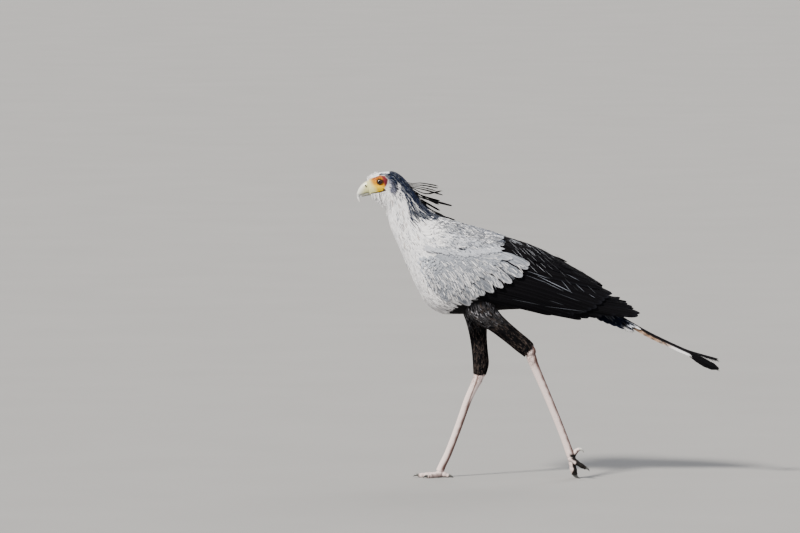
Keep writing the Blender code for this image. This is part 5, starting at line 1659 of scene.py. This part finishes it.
def streamer(coat, side, line):
    """One of the two long middle tail feathers. The near one is dark along its upper half, with buff and
    white barbs below. The far one, which it overlaps, is dark. Both end in black paddles."""
    near = side == LEFT
    count, across = 110, 7
    s = np.linspace(0, 1, count)
    points = curve(line, s * (len(line) - 1))
    x = points[:, 0]
    centres = xyz(x, points[:, 1], side * curve(STREAMER_Y, s * (len(line) - 1)))
    half = np.interp(x, *STREAMER_WIDTHS) * (1.0 if near else 0.6) * (1 + draw.normal(0, 0.03, count))
    tilt = math.radians(64 if near else 24)
    # 1 at the lower edge of the vane, 0 from its middle up
    lower = ramp(-0.05, 0.3, -np.linspace(-1, 1, across))[None, :] * np.ones((count, 1))
    base = np.broadcast_to(BLACK * 1.5, (count, across, 3))
    if near:
        barbs = mix(BUFF * 0.25, BUFF, 0.5 + 0.5 * np.sin(s * 150))
        barbs = mix(barbs, WHITE, ramp(660, 676, x))
        base = mix(base, barbs[:, None], lower * ramp(634, 640, x)[:, None])
        base = mix(base, WHITE, (ramp(676, 684, x) * ramp(693, 689, x))[:, None] * lower)
    base = mix(base, BLACK, ramp(688, 692, x)[:, None] * np.ones((1, across)))
    facing = (0.45, -math.sin(tilt), math.cos(tilt))
    single(coat, centres, facing, half * MM, clipped(base), across=across, camber=0.2)

    def loose_barbs(number, low, high, shade, reach, sag=0.25):
        """Barbs that leave the shaft backwards and hang below it, between two shares of its length."""
        at = draw.uniform(low, high, number) * (len(line) - 1)
        place = curve(line, at)
        roots = xyz(place[:, 0], place[:, 1] + 0.4, side * curve(STREAMER_Y, at))
        way = (np.full(number, 0.85), draw.normal(0, 0.25, number), draw.uniform(-0.75, -0.45, number))
        hanging_strands(
            coat, roots, unit(np.stack(way, axis=-1)), draw.uniform(*reach, number),
            draw.uniform(0.35, 0.75, number), lambda points, s: fixed(shade(points))(points, s), sag, 5,
            tail_place(place[:, 0], (0.83 if near else 0.68) + 0.12 * spaced(number)),
        )

    def fringe(points):
        x, _ = steps(points)
        chance = draw.random(len(points))
        shade = np.where((chance < 0.55)[:, None], BUFF * 0.9, PALE * 0.5)
        shade = np.where((chance > 0.72)[:, None], BLACK * 2, shade)
        return mix(shade, WHITE, ramp(664, 676, x))

    if near:
        loose_barbs(460, 0.34, 0.69, fringe, (8, 16))
    loose_barbs(60, 0.10, 0.34, lambda points: np.broadcast_to(BLACK * 1.5, points.shape), (12, 20))
    loose_barbs(110, 0.80, 0.95, lambda points: np.broadcast_to(BLACK, points.shape), (9, 20), 0.05)


def lofted(surface, ts, sides, patch):
    """Points, triangles and unwrapped places of a closed tube over rows ts of a surface."""
    angles = np.arange(sides) * TURN / sides
    points = surface(ts[:, None], angles[None, :]).reshape(-1, 3)
    rings = len(ts)
    i = np.arange(rings - 1)[:, None] * sides
    k = np.arange(sides)[None, :]
    nxt = (k + 1) % sides
    a, b, c, d = i + k, i + nxt, i + sides + nxt, i + sides + k
    faces = [np.stack([a, b, c], axis=-1).reshape(-1, 3), np.stack([a, c, d], axis=-1).reshape(-1, 3)]
    ends = points.reshape(rings, sides, 3)[[0, -1]].mean(axis=1)
    ring = np.arange(sides)
    faces.append(np.stack([(ring + 1) % sides, ring, np.full(sides, len(points))], axis=-1))
    top = (rings - 1) * sides
    faces.append(np.stack([top + ring, top + (ring + 1) % sides, np.full(sides, len(points) + 1)], axis=-1))
    u0, v0, u1, v1 = patch
    share = (ts - ts[0]) / (ts[-1] - ts[0])
    places = np.empty((rings, sides, 2))
    places[..., 0] = u0 + (u1 - u0) * share[:, None]
    places[..., 1] = v0 + (v1 - v0) * np.abs(np.linspace(-1, 1, sides, endpoint=False))[None, :]
    places = np.concatenate([places.reshape(-1, 2), [[u0, v0], [u1, v0]]])
    return np.concatenate([points, ends]), np.concatenate(faces), places


def outward(obj):
    shaped = bmesh.new()
    shaped.from_mesh(obj.data)
    bmesh.ops.recalc_face_normals(shaped, faces=shaped.faces)
    if shaped.calc_volume(signed=True) < 0:
        bmesh.ops.reverse_faces(shaped, faces=shaped.faces)
    shaped.to_mesh(obj.data)
    shaped.free()
    return obj


def tube_object(name, surface, ts, sides, patch, material):
    points, faces, places = lofted(surface, ts, sides, patch)
    return outward(grid_object(name, points, faces, {"OFBake": places}, material))


def combine(target, others, operation):
    tools = bpy.data.collections.new("tools")
    for other in others:
        tools.objects.link(other)
    cut = target.modifiers.new("cut", "BOOLEAN")
    cut.operand_type = "COLLECTION"
    cut.collection = tools
    cut.operation = operation
    cut.solver = "MANIFOLD"
    bpy.context.view_layer.update()
    made = bpy.data.meshes.new_from_object(target.evaluated_get(bpy.context.evaluated_depsgraph_get()))
    target.modifiers.clear()
    target.data = made
    for other in others:
        bpy.data.objects.remove(other)
    bpy.data.collections.remove(tools)


def ball_object(name, centre, radius, material, sides, rings, patch, squeeze=1.0):
    """A ball whose poles lie across the bird, from side to side, narrower there by squeeze."""

    def surface(t, angle):
        t, angle = arrays(t, angle)
        ring = np.sin(t)
        away = np.stack([ring * np.cos(angle), np.cos(t), ring * np.sin(angle)], axis=-1)
        return centre + away * radius * np.array((1, squeeze, 1))

    return tube_object(name, surface, np.linspace(0.04, math.pi - 0.04, rings), sides, patch, material)


def eye_centre(side):
    centre = xyz(*EYE)
    centre[1] = side * (float(lookup(BODY_WIDTH, *EYE)) - EYE_RADIUS + EYE_SHOWS) * MM
    return centre


def line_tube(path, radius):
    """A surface round a line of points in metres, with a radius in mm for each."""

    def surface(t, angle):
        t, angle = arrays(t, angle)
        way = unit(curve(path, t + 0.1) - curve(path, t - 0.1))
        across = unit(np.cross(way, np.array((0.0, 1.0, 0.02))))
        over = np.cross(across, way)
        ring = across * np.cos(angle)[..., None] + over * np.sin(angle)[..., None]
        return curve(path, t) + ring * curve(radius, t)[..., None] * MM

    return surface


def face_tint(x, z, angle_out):
    """The bare face's colours by place, where angle_out is 0 on top of the head and 1 at its side."""
    colour = np.broadcast_to(ORANGE * 0.9 + YELLOW * 0.1, (*x.shape, 3))
    colour = mix(colour, YELLOW, zone(CHEEK, x, z, 1.3))
    colour = mix(colour, CERE_GREEN, zone(CERE, x, z, 2.6))
    colour = mix(colour, PINK, 0.6 * zone(BROW, x, z, 0.9))
    colour = mix(colour, SCARLET, 0.95 * zone(RED, x, z, 0.9))
    ring = np.hypot((x - EYE[0]) / 3.4, (z - EYE[1]) / 2.9)
    colour = mix(colour, EYE_RING, 0.85 * ramp(1.12, 0.92, ring))
    colour = mix(colour, BROW_DUSK, 0.7 * zone(BROW_LINE, x, z, 0.3))
    behind = ramp(384.0, 386.0, x) * ramp(177.0, 178.6, z) * ramp(185.0, 183.0, z)
    colour = mix(colour, BEHIND_EYE, 0.75 * behind)
    lines = np.sin(x * 4.2 + 2.0 * np.sin(z * 1.1)) * ramp(382.0, 384.5, x)
    return mix(colour, SCARLET * 0.35, 0.5 * np.clip(lines, 0, 1) * zone(RED, x, z, 1.0) * angle_out)


def leg_tint(points, normals):
    """The bare legs and feet: painted light on the front and painted shade behind, dark scales over the
    joint, a dark line down the planted leg and painted shadow under the soles.
    """
    x, z = steps(points)
    lifted = x > LEGS_PART
    # Where the painted light on the front gives way to painted shade behind
    edge = np.where(lifted, 0.28, 0.12)
    wavy = 0.05 * np.sin(points[:, 2] * 190 + 2 * np.sin(points[:, 2] * 47))
    # Painted light on the side that faces the key lamp, fading into painted shade behind
    front = ramp(edge + 0.40, edge - 0.25, normals[:, 0] + wavy)
    # Painted light all round the upper part of the planted leg
    front = np.maximum(front, 0.85 * ~lifted * ramp(408, 396, z))
    mottle = np.sin(points[:, 2] * 900 + 3 * np.sin(points[:, 0] * 500)) * 0.5 + 0.5
    bare = mix(LEG_DARK * 0.6, LEG, np.clip(0.12 + 1.1 * front - 0.12 * mottle, 0, 1))
    joint = np.where(lifted, ramp(372, 360, z), ramp(392, 382, z))
    cells = np.sin(x * 3.1 + 1.9 * np.sin(z * 2.3)) * np.sin(z * 2.9 + 1.4 * np.sin(x * 2.1))
    bare = mix(bare, LEG_DARK * 0.7, joint * ramp(-0.1, 0.35, cells) * 0.85)
    # A dark line down the upper part of the planted leg
    off = np.abs(x - np.interp(z, *LEG_LINE))
    bare = mix(bare, LEG_DARK * 0.5, 0.9 * ramp(1.0, 0.4, off) * ramp(412, 396, z) * ~lifted)
    # Painted shadow: over the backs of the lifted foot's toes, all over its trailing outer toe, and under
    # the planted foot
    outer_toe_shade = ramp(575.0, 577.0, x + 0.35 * (z - 462)) * ramp(452, 455, z)
    lifted_sole_shade = lifted * ramp(452, 456, z) * np.maximum(ramp(-0.45, 0.0, normals[:, 0]), outer_toe_shade)
    planted_sole_shade = ~lifted * ramp(-0.5, -0.9, normals[:, 2]) * ramp(468, 471, z)
    sole_shade = np.clip(1.3 * lifted_sole_shade + planted_sole_shade, 0, 1)
    bare = mix(bare, BROWN * 0.2, sole_shade)
    toes = np.where(lifted, ramp(456, 460, z), ramp(470, 473, z))
    return mix(bare, LEG * 0.75, 0.5 * toes * (1 - sole_shade))


def skin_tint(points, normals):
    x, z = steps(points)
    side = np.abs(points[:, 1]) / MM
    face = zone(FACE, x, z, 0.7) * ramp(6.0, 10.0, side + 4 * (x < 372))
    base = mix(body_tint(points) * 0.8, face_tint(x, z, np.clip(side / 18, 0, 1)), face)
    # Painted shade: a near-black line along the gape's crease and in the mouth's corner
    gape = np.full(x.shape, np.inf)
    for gape_x, gape_z in curve(GAPE, np.linspace(0, len(GAPE) - 1, 60)):
        gape = np.minimum(gape, np.hypot(x - gape_x, z - gape_z))
    base = mix(base, MOUTH_LINE_SHADE, ramp(0.75, 0.3, gape) * (side > 5))
    base = mix(base, MOUTH_CORNER_SHADE, 0.85 * zone(MOUTH_END, x, z, 0.4) * (side > 5))
    leg = np.where(x > LEGS_PART, ramp(343, 347, z), ramp(364, 368, z))
    return clipped(mix(base, leg_tint(points, normals), leg))


def floor_cutter(material):
    """A block that reaches from the ground plane down, to cut the soles level."""
    points = [(x, y, z) for z in (-0.5, 0.0) for x, y in ((-1, -1), (1, -1), (1, 1), (-1, 1))]
    faces = [(0, 1, 2), (0, 2, 3), (4, 5, 6), (4, 6, 7)]
    for i in range(4):
        j = (i + 1) % 4
        faces += [(i, j, j + 4), (i, j + 4, i + 4)]
    uvs = {"OFBake": np.zeros((8, 2))}
    return outward(grid_object("under", np.array(points, float), np.array(faces), uvs, material, False))


def smooth_faces(mesh):
    mesh.polygons.foreach_set("use_smooth", np.full(len(mesh.polygons), True))
    mesh.update()


def build_skin(material):
    """One closed skin over the head, neck, body, thighs, tarsi and toes."""
    rows = np.concatenate([np.arange(0, 8, 1 / 16), np.arange(8, BODY_LAST + 0.01, 0.2)])

    def sunk(t, angle):
        return body(t, angle, curve(SKIN_DEPTH, arrays(t, angle)[0]))

    skin = tube_object("skin", sunk, rows, 128, (0.02, 0.02, 0.98, 0.58), material)
    parts = []

    def tube(name, surface, first, last, rings, sides, patch):
        parts.append(tube_object(name, surface, np.linspace(first, last, rings), sides, patch, material))

    for i, side in enumerate(SIDES):
        v = 0.60 + 0.19 * i
        top = v + 0.17
        tube("thigh", thigh_surface(side, -3.0), 0, len(THIGH[side]) - 1, 40, 40, (0.02, v, 0.2, top))
        tube("shank", shank_surface(side), 0.1, len(SHANK[side]) - 1, 330, 48, (0.22, v, 0.7, top))
        patch = (0.72, v, 0.76, v + 0.04)
        parts.append(ball_object("joint", foot_joint(side), FOOT_BALL * MM, material, 28, 18, patch))
        x, z, radius = ANKLES[side]
        ankle, patch = xyz(x, z, side * ANKLE_Y), (0.72, v + 0.06, 0.76, v + 0.1)
        parts.append(ball_object("ankle", ankle, radius * MM, material, 40, 28, patch, 0.86))
        for k, places in enumerate(TOES[side].values()):
            last = len(places) - 1
            u = 0.78 + 0.05 * k
            tube("toe", toe_surface(side, places), 0, last, 26 * last, 28, (u, v, u + 0.045, top))
    combine(skin, parts, "UNION")
    parts = []
    for side in SIDES:
        socket = (EYE_RADIUS + 0.2) * MM
        parts.append(ball_object("socket", eye_centre(side), socket, material, 32, 20, SOCKET_PATCH))
    for side in SIDES:
        x, z = curve(GAPE, np.linspace(0, len(GAPE) - 1, 12)).T
        path = xyz(x, z, side * lookup(BODY_WIDTH, x, z))
        tube("gape", line_tube(path, np.full(12, GAPE_DEPTH)), 0, 11, 40, 10, CUT_PATCH)
    parts.append(floor_cutter(material))
    combine(skin, parts, "DIFFERENCE")
    mesh = skin.data
    smooth_faces(mesh)
    normals = np.empty(len(mesh.vertices) * 3)
    mesh.vertex_normals.foreach_get("vector", normals)
    set_tint(mesh, skin_tint(coordinates(mesh), normals.reshape(-1, 3)))
    nodes = [f"{part}_{name}" for part in ("thigh", "shank", "foot") for name in SIDE_NAMES.values()]
    attach(skin, "skin", "head", "neck", "torso", *nodes)


def build_eyes(material, rim_material):
    for side, name in SIDE_NAMES.items():
        centre = eye_centre(side)
        axis = unit(np.array((-0.22, side, 0.02)))
        eye = ball_object(f"eyeball_{name}", centre, EYE_RADIUS * MM, material, 72, 60, WHOLE_PATCH)
        points = coordinates(eye.data)
        away = np.arccos(np.clip(unit(points - centre) @ axis, -1, 1))
        # The cornea swells a little over the iris
        points += unit(points - centre) * (0.5 * MM * np.exp(-((away / 0.55) ** 2)))[:, None]
        eye.data.vertices.foreach_set("co", points.ravel())
        layer = eye.data.attributes.new("away", "FLOAT", "POINT")
        layer.data.foreach_set("value", away.astype(np.float32))
        eye.data.update()
        attach(eye, "eye", f"eye_{name}")
        turns = np.linspace(0, TURN, 61)
        x = EYE[0] + in_steps(np.cos(turns) * LID_LENGTH)
        z = EYE[1] - in_steps(np.sin(turns) * (LID_HEIGHT + 0.5 * np.sin(turns)))
        path = xyz(x, z, side * (lookup(BODY_WIDTH, x, z) - 0.2))
        size = LID_THICKNESS + 0.45 * np.sin(turns) + 0.12 * np.sin(turns * 9)
        ts = np.linspace(0, 60, 240)
        rim = tube_object(f"eyelid_{name}", line_tube(path, size), ts, 14, WHOLE_PATCH, rim_material)
        x, z = steps(coordinates(rim.data))
        inner = np.hypot(in_mm(x - EYE[0]) / LID_OPENING[0], in_mm(z - EYE[1]) / LID_OPENING[1])
        set_tint(rim.data, mix(face_tint(x, z, np.ones(x.shape)), LID_EDGE, ramp(1.12, 1.0, inner)))
        attach(rim, "skin")


def lash_coat(coat):
    """The stiff black lashes of the upper lids."""
    for side in SIDES:
        turns = np.linspace(0.35, 2.75, LASHES) + draw.normal(0, 0.03, LASHES)
        x, z = EYE[0] + in_steps(np.cos(turns) * 9.0), EYE[1] - in_steps(np.sin(turns) * 8.0)
        roots = xyz(x, z, side * (lookup(BODY_WIDTH, x, z) + 0.8))
        ways = (np.cos(turns) * 0.9 - 0.3, np.full(LASHES, side * 0.7), np.sin(turns) * 0.5)
        length = draw.uniform(4.5, 7.0, LASHES)
        half = np.full(LASHES, 0.32)
        hanging_strands(coat, roots, unit(np.stack(ways, axis=-1)), length, half, plain(BLACK), -0.3)


def bill_section(rows, ridge):
    """A bill's surface, narrower along its ridge than a plain oval."""

    def surface(t, angle):
        t, angle = arrays(t, angle)
        row = curve(rows, t)
        lean = 1 + row[..., 5] * np.cos(angle) - ridge * np.maximum(np.cos(angle), 0) ** 2 * 0.5
        return oval(row, angle, 0.0, row[..., 4] * MM * np.sin(angle) * lean)

    return surface


def bill_tint(points):
    x, z = steps(points)
    side = np.abs(points[:, 1]) / MM
    cere = 0.95 * ramp(359.0, 367.5, x + 0.35 * (z - 188))
    colour = mix(np.broadcast_to(HORN, points.shape), CERE_GREEN, cere)
    colour = mix(colour, HORN_EDGE_AND_SHADE * 0.5, 0.35 * (ramp(1.2, 0.2, side) * (x < 365) * ramp(196.0, 190.0, z)))
    colour = mix(colour, WHITE, 0.8 * ramp(193.0, 196.5, z) * (x < 361))
    # Darker along the sides of the bill's lower edge: its darker horn and painted shade of the mouth line
    colour = mix(colour, HORN_EDGE_AND_SHADE * 0.8, 0.55 * zone(BILL_EDGE, x, z, 0.5) * (side > 2))
    # The nostril slit painted near-black: painted shade inside the hole
    along = (x - NOSTRIL[0]) * NOSTRIL_ALONG[0] + (z - NOSTRIL[1]) * NOSTRIL_ALONG[1]
    off = np.abs((x - NOSTRIL[0]) * NOSTRIL_ACROSS[0] - (z - NOSTRIL[1]) * NOSTRIL_ACROSS[1])
    slit = ramp(0.85, 0.55, off) * ramp(1.7, 1.3, np.abs(along)) * (side > 2)
    return mix(colour, NOSTRIL_SHADE, slit)


def build_bill(material):
    patch, ts = (0.02, 0.02, 0.98, 0.6), np.linspace(0, len(UPPER_BILL) - 1, 110)
    upper = tube_object("bill_horn", bill_section(UPPER_BILL, 0.5), ts, 56, patch, material)
    holes = []
    for side in SIDES:
        middle = xyz(*NOSTRIL, side * 8.2)
        shares = (-0.7, -0.35, 0, 0.35, 0.7)
        slit = [middle + np.array((share * 0.62, 0, -share * 0.95)) * 4.8 * MM for share in shares]
        tube = line_tube(slit, (0.5, 1.4, 1.7, 1.4, 0.5))
        holes.append(tube_object("nostril", tube, np.linspace(0, 4, 20), 14, CUT_PATCH, material))
    combine(upper, holes, "DIFFERENCE")
    patch, ts = (0.02, 0.7, 0.98, 0.98), np.linspace(0, len(LOWER_BILL) - 1, 50)
    lower = tube_object("bill_under", bill_section(LOWER_BILL, 0.0), ts, 40, patch, material)
    # The lower bill is darkened to 0.22: painted shade under the upper bill
    for obj, strength, replaced in ((upper, 1.0, "bill_upper"), (lower, 0.22, "bill_lower")):
        mesh = obj.data
        set_tint(mesh, clipped(bill_tint(coordinates(mesh)) * strength))
        smooth_faces(mesh)
        mesh.set_sharp_from_angle(angle=math.radians(50))
        attach(obj, "bill", replaced)


def claw_surface(root, way, down, rise, bend, length, radius):
    """A claw from its root that starts rise radians above way and bends towards down, to a point."""
    across = unit(np.cross(way, down))
    down = np.cross(across, way)

    def surface(t, angle):
        t, angle = arrays(t, angle)
        turned = bend * t - rise
        ahead = (np.sin(turned) + math.sin(rise)) / bend
        drop = (math.cos(rise) - np.cos(turned)) / bend
        middle = root + (way * (ahead - 0.08)[..., None] + down * drop[..., None]) * length * MM
        over = unit(np.cross(across, way * np.cos(turned)[..., None] + down * np.sin(turned)[..., None]))
        size = radius * MM * (1 - 0.96 * t**1.35)
        middle = middle + across * (size * 0.82 * np.cos(angle))[..., None]
        return middle + over * (size * np.sin(angle))[..., None]

    return surface


def build_claws(material):
    for side in (RIGHT, LEFT):
        for toe, places in TOES[side].items():
            name = f"{SIDE_NAMES[side]}_{toe}"
            ends = curve(places, np.array((len(places) - 1.5, len(places) - 1)))
            before, root = [foot_joint(side) + np.array((-p[0], p[1] * side, p[2])) * MM for p in ends]
            down, (rise, bend), pale = -UP, STANDING, 0.12
            if side == LEFT and toe in ("middle", "inner"):
                down, (rise, bend) = -AHEAD, HANGING
            if side == LEFT and toe == "hind":
                (rise, bend), pale = ARCHING, 1.0
            length, radius = CLAWS[toe]
            surface = claw_surface(root, unit(root - before), down, rise, bend, length, radius)
            horn = tube_object(f"talon_{name}", surface, np.linspace(0, 1, 28), 20, WHOLE_PATCH, material)
            points = coordinates(horn.data)
            points[:, 2] = np.maximum(points[:, 2], 0.0)
            horn.data.vertices.foreach_set("co", points.ravel())
            share = np.linalg.norm(points - root, axis=1) / (length * MM)
            base = np.broadcast_to(BLACK * 2, points.shape)
            set_tint(horn.data, mix(base, HORN * 0.9, pale * ramp(1.1, 0.2, share)))
            attach(horn, "claw", f"claw_{name}")


def place_in_scene(name, data, way, axis):
    """A lamp or camera, turned so that one of its own axes points along way."""
    obj = bpy.data.objects.new(name, data)
    obj.rotation_mode = "QUATERNION"
    obj.rotation_quaternion = Vector(way).to_track_quat(axis, "Y")
    bpy.context.scene.collection.objects.link(obj)
    return obj


def build_stage():
    """A pale floor far larger than the view, soft light and the camera."""

    def floor_nodes(tree, shader):
        made = node(tree, "ShaderNodeValToRGB")
        for element, colour in zip(made.color_ramp.elements, FLOOR_COLOURS):
            element.color = colour
        tree.links.new(noise(tree, 2.2, 6.0), made.inputs[0])
        tree.links.new(made.outputs[0], shader.inputs["Base Color"])

    corner = np.arange(FLOOR_SIDES)
    turns = corner * TURN / FLOOR_SIDES
    points = FLOOR_REACH * np.stack([np.cos(turns), np.sin(turns), 0 * turns], axis=-1)
    points = np.concatenate([points, [[0, 0, 0]]])
    faces = np.stack([corner, (corner + 1) % FLOOR_SIDES, np.full(FLOOR_SIDES, FLOOR_SIDES)], axis=-1)
    floor = grid_object("floor", points, faces, {}, make_material("floor_paint", 0.9, floor_nodes), False)
    world = bpy.data.worlds.new("studio")
    world.use_nodes = True
    sky = world.node_tree.nodes["Background"]
    sky.inputs["Color"].default_value, sky.inputs["Strength"].default_value = SKY
    bpy.context.scene.world = world
    for name, way, strength, width, colour in LAMPS:
        lamp = bpy.data.lights.new(name, "SUN")
        lamp.energy, lamp.angle, lamp.color = strength, math.radians(width), colour
        place_in_scene(name, lamp, way, "Z")
    camera = bpy.data.cameras.new("camera")
    camera.lens, camera.sensor_width = 400.0, 36.0
    camera.clip_start, camera.clip_end = 0.5, 300.0
    back = Vector((0, -math.cos(CAMERA_RISE), math.sin(CAMERA_RISE)))
    eye = place_in_scene("camera", camera, -back, "-Z")
    distance = VIEW_STEPS * PX * camera.lens / camera.sensor_width
    eye.location = Vector(xyz(*VIEW_MIDDLE)) + back * distance
    bpy.context.scene.camera = eye


def dress(name, material, slot, fillers, *replaced):
    """A coat of its own, filled by functions, each given with its further arguments."""
    coat = Coat(name, material)
    for fill, *more in fillers:
        fill(coat, *more)
    coat.build(slot, *replaced)


def main():
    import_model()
    web = feather_nodes(190.0, (0.5, 0.5, 0.52, 0.0), 0.16)
    soft = make_material("plumage", 0.85, web, Specular_IOR_Level=0.1)
    web = feather_nodes(230.0, (0.62, 0.63, 0.66, 0.5), 0.16)
    pale = make_material("covert_web", 0.8, web, Specular_IOR_Level=0.25)
    web = feather_nodes(300.0, (0.008, 0.008, 0.010, 0.6), 0.22)
    dark = make_material("flight_web", 0.6, web, Specular_IOR_Level=0.012)
    skin = make_material("bare_skin", 0.62, skin_nodes, Specular_IOR_Level=0.12)
    wet = {"Specular_IOR_Level": 0.2, "Coat_Weight": 0.3, "Coat_Roughness": 0.02}
    eye = make_material("eye_wet", 0.08, eye_nodes, **wet)
    build_skin(skin)
    build_eyes(eye, skin)
    build_bill(make_material("horn", 0.35, horn_nodes))
    build_claws(make_material("claw_horn", 0.3, horn_nodes))
    front = (head_coat, hackles, ear_streaks, pale_hackles, neck_streaks, bristles, lash_coat)
    dress("head_coat", soft, "plumage_white", [(fill,) for fill in front])
    dress("neck_coat", soft, "plumage_white", [(neck_coat,), (breast_tufts,)])
    dress("body_coat", soft, "plumage_white", [(torso_coat,)])
    for side, name in SIDE_NAMES.items():
        dress(f"flight_feathers_{name}", dark, "plumage_black", [(flight_coat, side)])
        dress(f"coverts_{name}", pale, "plumage_grey", [(covert_coat, side)], f"wing_{name}")
        dress(f"trousers_{name}", dark, "plumage_black", [(thigh_coat, side)])
    dress("back_coat", dark, "plumage_black", [(back_coat,)])
    dress("crest", dark, "plumage_black", [(plume_coat,)])
    streamers = [(streamer, side, line) for side, line in STREAMERS.items()]
    tail = [(short_tail_feathers,), (tail_coverts,), *streamers]
    dress("tail_feathers", dark, "plumage_black", tail, "tail")
    build_stage()


main()
